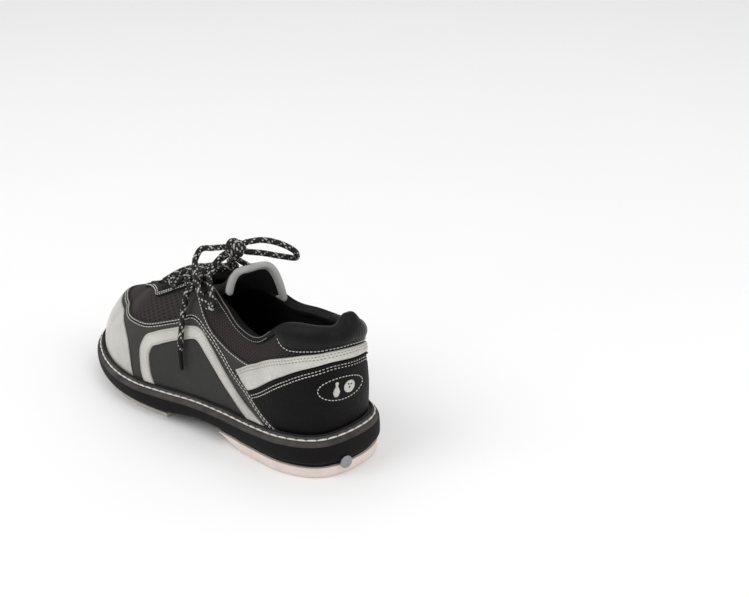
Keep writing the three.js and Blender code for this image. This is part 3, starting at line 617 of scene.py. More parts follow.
def braid(path, radius=LACE_RADIUS, close=False):
    """Points, faces, cloth places and yarn colours of a braided cord, and its path evenly spaced."""
    path = spread(path, 0.5)
    s = lengths(path)
    turn = np.arange(LACE_SIDES) / LACE_SIDES
    one = YARNS * turn[None, :] + s[:, None] / PICK
    two = YARNS * turn[None, :] - s[:, None] / PICK
    relief = np.sqrt(np.abs(np.sin(np.pi * one) * np.sin(np.pi * two)))
    size = radius - 0.32 + 0.36 * relief
    if not close:
        from_end = np.minimum(s, s[-1] - s)
        size = size * np.clip(0.72 + 0.28 * from_end / 1.2, 0.72, 1)[:, None]
    rings = path[:, None] + circle(LACE_SIDES, *frames_along(path)) * size[..., None]
    n, m = rings.shape[:2]
    i, j = np.meshgrid(np.arange(n - 1), np.arange(m), indexing="ij")
    a = np.floor(YARNS * (j + 0.5) / m + s[i] / PICK + 0.13).astype(int)
    b = np.floor(YARNS * (j + 0.5) / m - s[i] / PICK - 0.13).astype(int)
    over = (a + b) % 2 == 0
    white = np.where(over, b % YARNS == 0, a % 4 == 1).astype(int).ravel()
    cloth = np.stack([np.repeat(s, m), np.tile(turn * 14, n)], 1)
    if close:
        return rings.reshape(-1, 3), grid_faces(n, m, around=True), cloth, white, path
    points, faces, cloth = closed_tube(rings, path[[0, -1]], cloth)
    return points, faces, cloth, np.concatenate([white, np.zeros(2 * m, int)]), path


# ---------------------------------------------------------------- laces: the CAD routes
BARS = [7.5, 7.2, 6.9, 6.6, 6.3]  # where the lace crosses the throat
HALF_TURN = 0.15


def down(side, v, u, lift):
    """A point beside the upper: side 1 is lateral and -1 medial."""
    return off(u if side > 0 else RING - u, v, lift)


zigzag = []
for k, bar in enumerate(BARS):
    side = -1 if k % 2 else 1
    zigzag.append(down(side, 0.95, bar, 4.8))
    zigzag.append((down(1, 1.0, bar, 6.2) + down(-1, 1.0, bar, 6.2)) / 2)
    zigzag.append(down(-side, 0.95, bar, 4.8))
    zigzag.append(down(-side, 0.915, bar - HALF_TURN, 3.8))
zigzag = zigzag[:-1] + [np.array(p, float) for p in ((0, -13, 110), (-11, -8, 116.5), (-18.5, -4.5, 120.5))]
KNOT = np.array([-22, -2, 130])
LOOP_FRONT = [(-13.2, 2, 129.5), (-5.5, 6, 128), (1.5, 10, 126.6), (2.6, 15, 120.5), (-5, 22, 114.9),
              (-14.5, 28, 108.7), (-23.5, 31.2, 101.6), (-29, 29.6, 96.6), (-27.5, 25.6, 99.8),
              (-23, 23.4, 106.4), (-16.5, 19, 112), (-13.6, 12, 118.5), (-14, 5, 123.6)]
LOOP_MEDIAL = [(-25.5, -10, 133), (-29.6, -20, 132.4), (-33.3, -34, 126), (-37, -44, 117.5),
               (-34, -46.8, 111.5), (-29.5, -38, 114), (-26.2, -23, 120.5), (-24, -11, 124.8)]
TAIL_LATERAL = [(-13.2, -0.6, 122.6), (-8.6, 6.8, 117.2), (-6, 15, 111.8), (-3.5, 22.5, 106),
                down(1, 0.832, 6.2, 8.6), down(1, 0.728, 6.136, 6.6), down(1, 0.637, 5.989, 6.4),
                down(1, 0.495, 5.76, 6.4), down(1, 0.42, 5.66, 6.2)]
TAIL_MEDIAL = [(-15, -7.5, 123.5), (-8, -14, 117), (-2, -19, 110.5), down(-1, 0.84, 6.05, 8),
               down(-1, 0.7, 5.95, 6.6), down(-1, 0.58, 5.85, 6.4), down(-1, 0.49, 5.8, 6.4),
               down(-1, 0.42, 5.78, 6.2)]
AGLET_LATERAL = (down(1, 0.413, 5.65, 6.1), down(1, 0.28, 5.45, 5.4))
AGLET_MEDIAL = (down(-1, 0.413, 5.78, 6.1), down(-1, 0.28, 5.76, 5.4))
AGLET_ALONG = np.array([-0.02, 0, 0.02, 0.08, 0.1, 0.12, 0.14, 0.5, 0.86, 0.88, 0.9, 0.92, 0.97, 0.99, 1])
AGLET_SIZE = np.array([1.5, 1.68, 1.72, 1.72, 1.52, 1.52, 1.72, 1.66, 1.6, 1.45, 1.45, 1.6, 1.5, 1.2, 0.5])


def aglet(name, ends, node):
    """A crimped tube on the end of the lace, with a rounded tip and two pressed rings."""
    start, end = np.array(ends)
    path = start + (end - start) * AGLET_ALONG[:, None]
    rings = path[:, None] + circle(20, *frames_along(path)) * AGLET_SIZE[:, None, None]
    points, faces, _ = closed_tube(rings, path[[0, -1]])
    return build(name, points, faces, AGLET, [node], "aglet")


laces = {
    "lacing_braid": (zigzag, "lacing", "object", "taut"),
    "bow_loop_front": (LOOP_FRONT, "lace_loop_front", "object", "loose"),
    "bow_loop_medial": (LOOP_MEDIAL, "lace_loop_medial", "object", "loose"),
    "lace_end_lateral": (TAIL_LATERAL, "lace_tail_lateral", "fitting", "hanging"),
    "lace_end_medial": (TAIL_MEDIAL, "lace_tail_medial", "fitting", "hanging"),
}
tips = {
    "lace_end_lateral": aglet("aglet_tip_lateral", AGLET_LATERAL, "aglet_lateral"),
    "lace_end_medial": aglet("aglet_tip_medial", AGLET_MEDIAL, "aglet_medial"),
}
YARN_LOOKS = [LACE_BLACK, LACE_WHITE]
for name, (route, node, far_end, lay) in laces.items():
    points, faces, cloth, white, path = braid(curve(route, 16))
    piece = build(name, points, faces, YARN_LOOKS, [node], "lace", cloth=cloth, sharp=80, face_look=white)


def hoop(centre, one, two):
    """A closed oval path, its two half axes given as vectors."""
    angle = np.linspace(0, 2 * np.pi, 60)[:, None]
    return centre + np.cos(angle) * np.array(one) + np.sin(angle) * np.array(two)


def bow_knot():
    """The knot: four turns of lace round each other, with a short piece running into each loop and end."""
    turns = [
        hoop(KNOT + (1.0, 0, 0.3), (0, 5.0, 1.0), (1.5, 0, 4.4)),
        hoop(KNOT + (0.4, 0.6, -0.5), (5.6, 1.2, 0.6), (0, -1.5, 4.1)),
        hoop(KNOT + (-1.2, -0.8, 0.2), (4.6, -3.6, 0.5), (1.0, 1.4, 4.0)),
        hoop(KNOT + (-0.2, 0.2, -0.4), (3.6, 4.0, -0.8), (1.2, -1.0, 3.9)),
    ]
    core = [KNOT + (-4, -3, -2), KNOT, KNOT + (4, 3, 2)]
    parts = [braid(turn, close=True) for turn in turns] + [braid(curve(core, 8), 3.8)]
    for route in (LOOP_FRONT, LOOP_FRONT[::-1], LOOP_MEDIAL, LOOP_MEDIAL[::-1], TAIL_LATERAL, TAIL_MEDIAL,
                  zigzag[::-1]):
        end, beyond = np.array(route[:2], float)
        inside = KNOT + (end - KNOT) * 0.35
        parts.append(braid(curve([inside, end, end + unit(beyond - end) * 1.2], 10), LACE_RADIUS + 0.06))
    points, faces, cloth, white, _ = merged(parts)
    build("bow_knot", points, faces, YARN_LOOKS, ["lace_knot"], "lace", cloth=cloth, sharp=80,
          face_look=white)


bow_knot()

# ---------------------------------------------------------------- the upper
LOW = -0.06
CAP_EDGE = [(7.24, -0.02), (7.35, 0.15), (7.58, 0.3), (7.95, 0.42), (8.6, 0.5), (9.8, 0.55), (11, 0.57)]
GUARD_EDGE = [
    (1.95, -0.03), (2.17, 0.016), (2.34, 0.052), (2.62, 0.157), (2.88, 0.268), (3.15, 0.376),
    (3.5, 0.455), (3.86, 0.515), (4.25, 0.589), (4.62, 0.63), (4.96, 0.66), (5.29, 0.675), (5.56, 0.69),
    (5.8, 0.695), (6.05, 0.675), (6.25, 0.625), (6.66, 0.579), (7.2, 0.534), (7.75, 0.55), (8.6, 0.595),
    (9.8, 0.66), (11, 0.71),
]
STRIPE_OUTER = [
    (6.7, LOW), (6.93, 0.2), (7.07, 0.34), (7.04, 0.42), (6.78, 0.478), (6.25, 0.54), (5.88, 0.59),
    (5.58, 0.628), (5.32, 0.628), (4.97, 0.592), (4.4, 0.51), (3.8, 0.383), (3.2, 0.22), (2.35, LOW),
]
STRIPE_INNER = [
    (6.3, LOW), (6.57, 0.179), (6.7, 0.3), (6.68, 0.35), (6.5, 0.385), (6.15, 0.435), (5.8, 0.483),
    (5.47, 0.536), (5.28, 0.532), (4.95, 0.49), (4.5, 0.417), (4.1, 0.33), (3.62, 0.2), (2.95, LOW),
]
HEEL_STRIPE_TOP = [
    (3.75, 0.545), (3.2, 0.672), (2.78, 0.704), (2.43, 0.693), (2.09, 0.68), (1.76, 0.695), (1.42, 0.732),
    (0.69, 0.795), (0, 0.815),
]
HEEL_STRIPE_FOOT = [
    (3.12, 0.39), (2.8, 0.438), (2.49, 0.479), (2.21, 0.508), (1.95, 0.535), (1.68, 0.574), (1.4, 0.617),
    (0.8, 0.69), (0, 0.712),
]
COLLAR_EDGE = [
    (2.3, 1.0), (2.26, 0.93), (2.2, 0.865), (2.1, 0.8), (1.9, 0.745), (1.67, 0.734), (1.34, 0.755),
    (1, 0.78), (0.69, 0.802), (0, 0.824),
]
MESH_EDGE = [
    (3.1, 0.655), (3.29, 0.672), (3.81, 0.677), (4.33, 0.677), (4.7, 0.678), (5.01, 0.687),
    (5.34, 0.714), (5.56, 0.74), (5.76, 0.775), (5.99, 0.828), (6.18, 0.9), (6.24, 1.0),
]
STAY_EDGE = [(6.5, 0.96), (6.9, 0.88), (7.2, 0.82), (7.5, 0.79), (7.72, 0.85), (8.1, 0.9), (8.5, 0.89)]
STAY_TOP = (6.44, 6.8, 7.15, 7.45, 7.75, 8.1, 8.5)  # the u of each rung at the top edge
TIP_EDGE = [(8.55, 0.89), (9.1, 0.86), (9.7, 0.9)]
CAP_RUNGS = [((u, LOW), (u, v)) for u, v in CAP_EDGE]
CAP_RUNGS[0] = ((7.2, LOW), (7.24, -0.02))
GUARD_RUNGS = [((u, LOW), (u, v)) for u, v in GUARD_EDGE[:17]] + [
    ((7.22, -0.02), (7.2, 0.534)), ((7.33, 0.15), (7.42, 0.538)), ((7.56, 0.3), (7.75, 0.55)),
    ((7.93, 0.42), (8.15, 0.57)), ((8.6, 0.5), (8.6, 0.595)), ((9.8, 0.55), (9.8, 0.66)),
    ((11, 0.57), (11, 0.71)),
]
SADDLE_RUNGS = [
    ((3.7, 0.53), (3.1, 0.655)), ((3.78, 0.515), (3.35, 0.673)), ((3.95, 0.515), (3.85, 0.677)),
    ((4.25, 0.57), (4.33, 0.677)), ((4.62, 0.61), (4.7, 0.678)), ((4.96, 0.64), (5.01, 0.687)),
    ((5.29, 0.655), (5.34, 0.714)), ((5.56, 0.67), (5.56, 0.74)), ((5.78, 0.675), (5.76, 0.775)),
    ((5.95, 0.665), (5.99, 0.828)), ((6.08, 0.65), (6.18, 0.92)), ((6.2, 0.61), (6.38, 1.0)),
]
COUNTER_RUNGS = [
    ((0, LOW), (0, 0.805)), ((0.7, LOW), (0.69, 0.785)), ((1.4, LOW), (1.42, 0.72)),
    ((1.75, LOW), (1.8, 0.682)), ((1.98, -0.02), (2.1, 0.668)), ((2.3, 0.045), (2.4, 0.68)),
    ((2.6, 0.15), (2.68, 0.69)), ((2.87, 0.262), (2.93, 0.68)), ((3.14, 0.37), (3.2, 0.655)),
    ((3.5, 0.45), (3.5, 0.59)),
    ((3.84, 0.51), (3.75, 0.54)),
]


def mirror(rungs):
    """Both sides of the shoe as one run, from lateral round the toe to medial."""
    return rungs + [tuple((RING - u, v) for u, v in rung) for rung in rungs[-2::-1]]


def heel_wrap(rungs):
    """Both sides as one run round the heel, from medial to lateral."""
    return [tuple((-u, v) for u, v in rung) for rung in rungs[::-1]] + rungs[1:]


def round_toe(line):
    """A line of the lateral side carried on over the toe to the medial side."""
    return [p for p, _ in mirror([(p, p) for p in line])]


def round_heel(line):
    """A line given from its front end to the back of the heel, as one line round both sides."""
    return [p for p, _ in heel_wrap([(p, p) for p in line[::-1]])]


def shifted(line, distance):
    """A (u, v) line moved sideways on the skin by a distance: up, for a line that runs to larger u."""
    u, v = np.asarray(line, float).T
    per_u = (skin(u + 0.01, v) - skin(u - 0.01, v)) / 0.02
    per_v = (skin(u, v + 0.005) - skin(u, v - 0.005)) / 0.01
    run = np.gradient(skin(u, v), axis=0)
    side = unit(np.cross(unit(run), normal(u, v)))
    uu, vv, uv, su, sv = ((a * b).sum(-1) for a, b in (
        (per_u, per_u), (per_v, per_v), (per_u, per_v), (per_u, side), (per_v, side)))
    det = uu * vv - uv * uv
    du = (vv * su - uv * sv) / det
    dv = (uu * sv - uv * su) / det
    return np.stack([u + du * distance, v + dv * distance], 1)


def seam(line, distance, height, side=1):
    """A path and its outward directions on the upper, along a line moved sideways by a distance."""
    fine = curve(line, 14)
    if distance:
        fine = shifted(fine, distance)
    return raised(fine[:, 0] if side > 0 else RING - fine[:, 0], fine[:, 1], height)


STITCH_RINGS = 6
STITCH_SIDES = 6


def stitch_row(path, out, pitch=3.1, share=0.72, thick=0.64, lift=0.28):
    """Thread lying on a surface along a path: one rounded stitch after another."""
    s = lengths(path)
    count = max(1, int(s[-1] / pitch))
    q = np.linspace(0, 1, STITCH_RINGS)
    at = (np.arange(count)[:, None] + (1 - share) / 2 + share * q[None, :]) * (s[-1] / count)
    centre = sample(at, s, path)
    rise = unit(sample(at, s, out))
    aside = unit(np.cross(rise, unit(np.gradient(centre, axis=1))))
    centre = centre + rise * (lift * np.sin(np.pi * q) ** 0.6 - 0.16)[None, :, None]
    size = thick / 2 * (0.45 + 0.55 * np.sin(np.pi * np.clip(q, 0.06, 0.94)) ** 0.5)
    points = centre[:, :, None] + circle(STITCH_SIDES, aside, rise) * size[None, :, None, None]
    block = STITCH_RINGS * STITCH_SIDES
    end = np.array([[0, 1, 2, 3], [0, 3, 4, 5]])
    ends = np.concatenate([end, block - 1 - end])[:, ::-1]
    faces = np.concatenate([grid_faces(STITCH_RINGS, STITCH_SIDES, around=True), ends])
    every = (faces[None] + (np.arange(count) * block)[:, None, None]).reshape(-1, 4)
    turn = 2 * np.pi * np.arange(STITCH_SIDES) / STITCH_SIDES
    cloth = np.stack(np.broadcast_arrays(at[:, :, None], turn), -1)
    return points.reshape(-1, 3), every, cloth.reshape(-1, 2)


def stitches(name, rows, look=THREAD, slot=None, **shape):
    """One piece of thread made of several rows. Each row is (path, outward directions)."""
    points, faces, cloth = merged([stitch_row(path, out, **shape) for path, out in rows])
    return build(name, points, faces, look, slot=slot, cloth=cloth, sharp=80)


def creases(u, v):
    """Slow rises and falls, and flex lines across the ball of the foot."""
    p = skin(u, v)
    slow = 0.22 * np.sin(p[..., 0] / 9 + p[..., 2] / 7) + 0.16 * np.sin(p[..., 0] / 4.7 - p[..., 2] / 5.3 + 1)
    flex = np.exp(-(((p[..., 0] - 48) / 22) ** 2)) * np.sin((p[..., 0] + 0.35 * p[..., 2]) / 2.6)
    return slow + 0.16 * flex


SIDES = ((1, "lateral"), (-1, "medial"))
FIRST_IN, FIRST_OUT = -0.2, 1.3  # the faces of the panels that lie on the mesh
SECOND_IN, SECOND_OUT = 1.36, 2.7  # the faces of those sewn on top of them
GUARD_ROWS = (-1.3, -3.3)  # how far each stitch row lies from the panel's edge
COUNTER_ROWS = (-3.6, -5.6)
guard_line = round_toe(GUARD_EDGE)
stripe_foot = round_heel(HEEL_STRIPE_FOOT)


def creased(share):
    """A share of the creases, for a stiffer panel."""
    return lambda u, v: share * creases(u, v)


panel("toe_cap_leather", mirror(CAP_RUNGS), FIRST_IN, FIRST_OUT + 0.25, TOE, ["toe_cap"], "pale",
      lift=creased(0.5))
panel("mudguard_leather", mirror(GUARD_RUNGS), FIRST_IN, FIRST_OUT, NUBUCK, ["mudguard"], "nubuck",
      seams=[seam(guard_line, row, 1.3)[0] for row in GUARD_ROWS], lift=creases)
panel("heel_counter_leather", heel_wrap(COUNTER_RUNGS), FIRST_IN, FIRST_OUT - 0.15, GRAIN,
      ["heel_counter_cover"], "grain", seams=[seam(stripe_foot, row, 1.3)[0] for row in COUNTER_ROWS],
      lift=creased(0.4))
panel("heel_stripe_leather", heel_wrap(list(zip(HEEL_STRIPE_FOOT[::-1], HEEL_STRIPE_TOP[::-1]))),
      SECOND_IN - 0.2, SECOND_OUT - 0.4, PALE, ["heel_stripe"], "pale", step=1.2)

for side, word in SIDES:
    panel(f"side_stripe_leather_{word}", list(zip(STRIPE_INNER, STRIPE_OUTER)), SECOND_IN, SECOND_OUT,
          PALE, [f"side_stripe_{word}"], "pale", side=side, step=1.2, lift=creased(0.5))
    feet = np.linspace(6.25, 3.02, len(STRIPE_INNER))
    inside = [((float(f), LOW), p) for f, p in zip(feet, STRIPE_INNER)]
    panel(f"side_panel_leather_{word}", inside, SECOND_IN, SECOND_OUT - 0.9, PANEL,
          [f"side_panel_{word}"], "panel", side=side, lift=creases)
    panel(f"saddle_leather_{word}", SADDLE_RUNGS, FIRST_IN - 0.3, FIRST_OUT - 0.35, SADDLE,
          [f"saddle_{word}"], "nubuck", side=side, step=1.3, lift=creased(0.4),
          seams=[seam(MESH_EDGE, -1.6, 1, side)[0]])
    stay = [(p, (u, 1.0)) for p, u in zip(STAY_EDGE, STAY_TOP)]
    panel(f"eyestay_leather_{word}", stay, FIRST_IN - 0.3, FIRST_OUT, TRIM, [f"eyestay_{word}"], "nubuck",
          side=side, step=1.2, lift=creased(0.4))
    quarter = [((u, LOW), (u, 1.0)) for u in (0.02, 1, 2, 3, 4, 5, 5.98)]
    panel(f"quarter_mesh_cloth_{word}", quarter, -2.3, -0.35, MESH, [f"quarter_mesh_{word}"], "mesh",
          side=side, step=2.0)

VAMP_FROM = 6.02
U_MM = 15.5  # about one station in millimetres
V_MM = 72  # about the height of the upper


def shell_round(name, inner, outer, look, node, slot):
    """A layer over the front of the shoe, its two sides joined along the spine."""
    half = np.linspace(VAMP_FROM, 11, int((11 - VAMP_FROM) * U_MM / 2.4))
    u = np.concatenate([half, RING - half[-2::-1]])
    uu, vv = np.meshgrid(u, np.linspace(LOW, 1, 46), indexing="ij")
    spine = (u >= SPINE) & (u <= RING - SPINE)
    out = normal(uu, vv)
    both = unit(normal(u, np.ones(len(u))) + normal(RING - u, np.ones(len(u))))
    out[:, -1] = np.where(spine[:, None], both, out[:, -1])
    points, faces = two_sided(skin(uu, vv) + out * outer, skin(uu, vv) + out * inner, open_top=spine)
    sheet = np.stack([uu * U_MM, vv * V_MM], -1).reshape(-1, 2)
    return build(name, points, faces, look, [node], slot, cloth=np.tile(sheet, (2, 1)), weld=True)


shell_round("vamp_mesh_cloth", -2.3, -0.35, MESH, "vamp_mesh", "mesh")
shell_round("vamp_lining_cloth", -4.9, -3.5, LINING, "vamp_lining", "lining")
lining_rungs = [((u, LOW), (u, 1.0)) for u in (0, 1, 2, 3, 4, 5, 6)]
panel("quarter_lining_cloth", heel_wrap(lining_rungs), -5.0, -3.4, LINING, ["quarter_lining"], "lining",
      step=2)
stiff_rungs = [((u, LOW), (u, 0.6)) for u in (0, 1, 2, 2.6)]
panel("heel_stiffener_board", heel_wrap(stiff_rungs), -2.25, -0.6, BOARD, ["heel_stiffener"], "board",
      step=2.5)
for side, word in SIDES:
    panel(f"vamp_tip_leather_{word}", [(p, (p[0], 1.0)) for p in TIP_EDGE], FIRST_IN - 0.3, FIRST_OUT,
          TRIM, ["vamp_tip"], "nubuck", side=side, step=1.2)


PROFILE_STEPS = 4  # points between one corner of a rolled strip's profile and the next


def rolled(name, stations, profile, look, replaces, slot):
    """A strip folded over the top edge. profile(u) is a closed loop of (v, distance out)."""
    rings = []
    for u in stations:
        loop = profile(u)
        v, out = curve(loop + loop[:1], PROFILE_STEPS)[:-1].T
        rings.append(off(np.full(len(v), u), v, out))
    rings = np.array(rings)
    n, m = rings.shape[:2]
    across = lengths(np.vstack([rings[n // 2], rings[n // 2, :1]]))[:-1]
    cloth = np.stack([np.repeat(lengths(rings[:, 0]), m), np.tile(across, n)], 1)
    points, faces, cloth = closed_tube(rings, rings[[0, -1]].mean(1), cloth)
    return build(name, points, faces, look, replaces, slot, cloth=cloth, sharp=70)


collar_u, collar_v = np.array(COLLAR_EDGE[::-1]).T


def collar_profile(u):
    """A padded roll: full in the middle of each side, drawn in at its ends and at the heel tab's creases."""
    foot_v = float(np.interp(abs(u), collar_u, collar_v))
    room = 1 - foot_v
    full = min(1, room / 0.16) ** 0.5
    crease = 1 - 0.35 * math.exp(-(((abs(u - TAB_AT) - 0.66) / 0.16) ** 2))
    puff = full * crease * (1 + 0.05 * math.sin(9 * u))
    return [
        (foot_v, 0.3), (foot_v + 0.015, 1.3), (foot_v + 0.25 * room, 1.3 + 1.5 * puff),
        (foot_v + 0.6 * room, 1.3 + 2.5 * puff), (0.975, 0.8 + 2.0 * puff), (1.018, 0.2 + puff),
        (1.03, -1.8), (1.015, -4.4), (0.97, -5.4 - 1.0 * puff), (0.9, -5.4 - 1.5 * puff),
        (foot_v + 0.3 * room, -5.5), (foot_v + 0.05, -4.0), (foot_v + 0.02, -2.0),
    ]


CLOTH_FRAMES = 20
CLOTH_PRESSURE = 10000  # high, because the cover's own mesh is fine and stiff
CLOTH_STIFFNESS = 5


def swell(piece, free, cap):
    """Blows a closed padded piece up with the cloth solver. free is 0 where it is sewn down, cap is in mm."""
    mesh = piece.data
    start = np.empty(3 * len(mesh.vertices))
    mesh.vertices.foreach_get("co", start)
    sewn = piece.vertex_groups.new(name="sewn")
    for i, share in enumerate(free):
        sewn.add([i], 1 - float(share), "REPLACE")
    cloth = piece.modifiers.new("cloth", "CLOTH")
    cloth.settings.quality = 5
    cloth.settings.mass = 0.3
    cloth.settings.tension_stiffness = CLOTH_STIFFNESS
    cloth.settings.compression_stiffness = CLOTH_STIFFNESS
    cloth.settings.bending_stiffness = 0.1
    cloth.settings.use_pressure = True
    cloth.settings.uniform_pressure_force = CLOTH_PRESSURE
    cloth.settings.effector_weights.gravity = 0
    cloth.settings.vertex_group_mass = "sewn"
    cloth.point_cache.frame_start = 1
    cloth.point_cache.frame_end = CLOTH_FRAMES
    for number in range(1, CLOTH_FRAMES + 1):
        bpy.context.scene.frame_set(number)
    view = bpy.context.evaluated_depsgraph_get()
    made = piece.evaluated_get(view).to_mesh()
    end = np.empty(len(start))
    made.vertices.foreach_get("co", end)
    piece.evaluated_get(view).to_mesh_clear()
    piece.modifiers.remove(cloth)
    piece.vertex_groups.remove(sewn)
    bpy.context.scene.frame_set(1)
    moved = (end - start).reshape(-1, 3)
    size = np.linalg.norm(moved, axis=1, keepdims=True)
    moved = moved * np.minimum(1, cap * MM / np.maximum(size, 1e-9)) * np.asarray(free)[:, None]
    mesh.vertices.foreach_set("co", (start.reshape(-1, 3) + moved).ravel())
    mesh.update()


COLLAR_END = 2.26  # the u of its front end on each side
SWELL_CAP = 1.6
collar_stations = np.linspace(-COLLAR_END, COLLAR_END, 150)
collar = rolled("collar_padding", collar_stations, collar_profile, COLLAR,
                ["collar_cover", "collar_foam"], "grain")
# Free in the middle of the cover, sewn down at its front ends and along both seams.
corner = np.arange(len(collar_profile(0)) * PROFILE_STEPS) / PROFILE_STEPS
from_end = inset(COLLAR_END - np.abs(collar_stations), 0.3)
from_seam = inset(np.minimum(corner - 1, 11 - corner), 1.5)
collar_free = (from_end[:, None] * from_seam[None, :]).ravel()
swell(collar, np.concatenate([collar_free, [0, 0]]), SWELL_CAP)


def topline_profile(u):
    """The binding: a broad fold round the opening, narrow beside the laces."""
    a = u if u < 11 else RING - u
    foot_v = float(np.interp(a, [2.1, 5.9, 6.3, 8.9], [0.925, 0.935, 0.98, 0.98]))
    puff = float(np.interp(a, [2.1, 5.9, 6.3, 8.9], [0.5, 0.5, 0.25, 0.25]))
    room = 1 - foot_v
    return [
        (foot_v, 0.2), (foot_v + 0.006, 1.25), (foot_v + 0.5 * room, 1.4 + puff), (0.997, 1.3 + puff),
        (1.014, -0.2), (1.016, -2.0), (1.012, -4.0), (0.995, -5.4 - puff), (foot_v + 0.3 * room, -5.7 - puff),
        (foot_v, -5.3), (foot_v, -3.4), (foot_v, -1.6),
    ]


for word, ends in (("lateral", (2.2, 8.85)), ("medial", (RING - 8.85, RING - 2.2))):
    rolled(f"topline_binding_leather_{word}", np.linspace(*ends, 190), topline_profile, TRIM,
           [f"topline_binding_{word}"], "mesh")

# ---------------------------------------------------------------- the badge: an oval with a pin and a ball
BADGE_U, BADGE_V, BADGE_HALF_U, BADGE_HALF_V = 0.32, 0.445, 0.82, 0.118
arc = [(k + 0.25) / 8.5 * math.pi for k in range(9)]
badge = [[(BADGE_U - BADGE_HALF_U * math.cos(a), BADGE_V + sign * BADGE_HALF_V * math.sin(a)) for a in arc]
         for sign in (-1, 1)]
panel("badge_leather", list(zip(*badge)), 0.9, 1.6, GRAIN, ["badge_patch"], "grain", step=1.0)


def oval(scale, height):
    """A line round the badge, at a share of its half width and height."""
    a = np.linspace(0, 2 * np.pi, 90)
    return raised(BADGE_U + BADGE_HALF_U * scale * np.cos(a),
                  BADGE_V + BADGE_HALF_V * scale * np.sin(a), height)


def on_badge(x, y):
    """Points of the badge's face from flat coordinates in millimetres, x towards the toe."""
    per_u = np.linalg.norm(skin(BADGE_U + 0.05, BADGE_V) - skin(BADGE_U - 0.05, BADGE_V)) / 0.1
    per_v = np.linalg.norm(skin(BADGE_U, BADGE_V + 0.02) - skin(BADGE_U, BADGE_V - 0.02)) / 0.04
    return raised(BADGE_U + np.asarray(x) / per_u, BADGE_V + np.asarray(y) / per_v, 1.75)


BALL_X, BALL_R = -4.6, 4.7
FINGER_HOLES = [(-6.0, 1.7), (-3.5, 2.1), (-4.4, -0.4)]
HOLE_R = 0.75
PIN_X = 5.4
PIN_SHAPE = ([-5.2, -4.2, -2.0, 0.2, 1.6, 2.8, 4.0, 5.0, 5.4], [1.3, 1.8, 2.4, 1.7, 0.9, 0.8, 1.2, 1.0, 0.3])


def satin(centre_x, half_width, y, holes=()):
    """One row of embroidery across a shape, broken where a hole is."""
    spans = [(centre_x - half_width, centre_x + half_width)]
    for hole_x, hole_y in holes:
        reach = HOLE_R**2 - (y - hole_y) ** 2
        if reach <= 0:
            continue
        cut = math.sqrt(reach)
        split = []
        for a, b in spans:
            split += [(a, min(b, hole_x - cut)), (max(a, hole_x + cut), b)]
        spans = split
    return [(a, b) for a, b in spans if b - a > 0.35]


motif = []
for y in np.arange(-5.2, 5.4, 0.46):
    rows = satin(PIN_X, float(np.interp(y, *PIN_SHAPE)), y)
    if abs(y) < BALL_R:
        rows += satin(BALL_X, math.sqrt(BALL_R**2 - y**2), y, FINGER_HOLES)
    motif += [on_badge(np.linspace(a, b, 8), np.full(8, y)) for a, b in rows]
stitches("badge_embroidery", motif, slot="pale", pitch=100, share=1, thick=0.56, lift=0.3)
stitches("stitch_badge", [oval(0.9, 1.65)], pitch=2.5, share=0.66)

# ---------------------------------------------------------------- seams
stripe_top = round_heel(HEEL_STRIPE_TOP)
stitches("stitch_mudguard", [seam(guard_line, row, height) for row, height in zip(GUARD_ROWS, (1.2, 1.25))])
stitches("stitch_mudguard_cord", [seam(guard_line, -2.3, 1.1)], BLACK_THREAD, pitch=1.5, share=0.9,
         thick=0.9)
stitches("stitch_toe_cap", [seam(round_toe(CAP_EDGE), 1.4, 1.3)], BLACK_THREAD, pitch=2.6, thick=0.45)
stitches("stitch_counter", [seam(stripe_foot, row, 0.85) for row in COUNTER_ROWS], pitch=2.6)
stitches("stitch_heel_stripe", [seam(stripe_top, -1.7, 2.3), seam(stripe_top, -3.7, 2.3)], TONAL,
         pitch=2.6, share=0.62, thick=0.6)
stitches("stitch_collar", [seam(round_heel(COLLAR_EDGE[1:]), 1.2, 1.95)], pitch=2.6, share=0.66)
TOP_EDGE = [(u, 0.948) for u in (2.6, 3.2, 4, 4.8, 5.4, 5.9)]
for side, word in SIDES:
    stitches(f"stitch_saddle_{word}", [seam(MESH_EDGE[:-1], -1.6, 0.7, side)], pitch=2.6)
    stitches(f"stitch_eyestay_{word}", [seam(STAY_EDGE, row, 1.3, side) for row in (1.3, 2.9)], pitch=2.4)
    stitches(f"stitch_vamp_tip_{word}", [seam(TIP_EDGE, 1.3, 1.35, side)], pitch=2.4)
    stitches(f"stitch_topline_{word}", [seam(TOP_EDGE, 0, 1.75, side)], pitch=2.2, share=0.6, thick=0.34)
    stitches(f"stitch_side_stripe_{word}",
             [seam(STRIPE_OUTER[::-1], -1.5, 2.7, side), seam(STRIPE_INNER[::-1], 1.5, 2.7, side)], TONAL,
             pitch=2.0, share=0.6, thick=0.4)

BEAD_SIDES = 10


def beading(name, line, distance, height, radius, look):
    """A thin corded edge along a line of the upper."""
    path = spread(seam(line, distance, height)[0], 0.6)
    s = lengths(path)
    size = radius * (0.88 + 0.12 * np.abs(np.sin(np.pi * s / 1.5)))
    points = path[:, None] + circle(BEAD_SIDES, *frames_along(path)) * size[:, None, None]
    n, m = points.shape[:2]
    ends = np.array([[0, k, k + 1, k + 2] for k in range(1, BEAD_SIDES - 2, 2)])
    faces = np.concatenate([grid_faces(n, m, around=True), ends[:, ::-1], ends + (n - 1) * m])
    turn = 2 * np.pi * np.arange(m) / m
    cloth = np.stack([np.repeat(s, m), np.tile(turn, n)], 1)
    return build(name, points, faces, look, slot="grain", cloth=cloth, sharp=80)


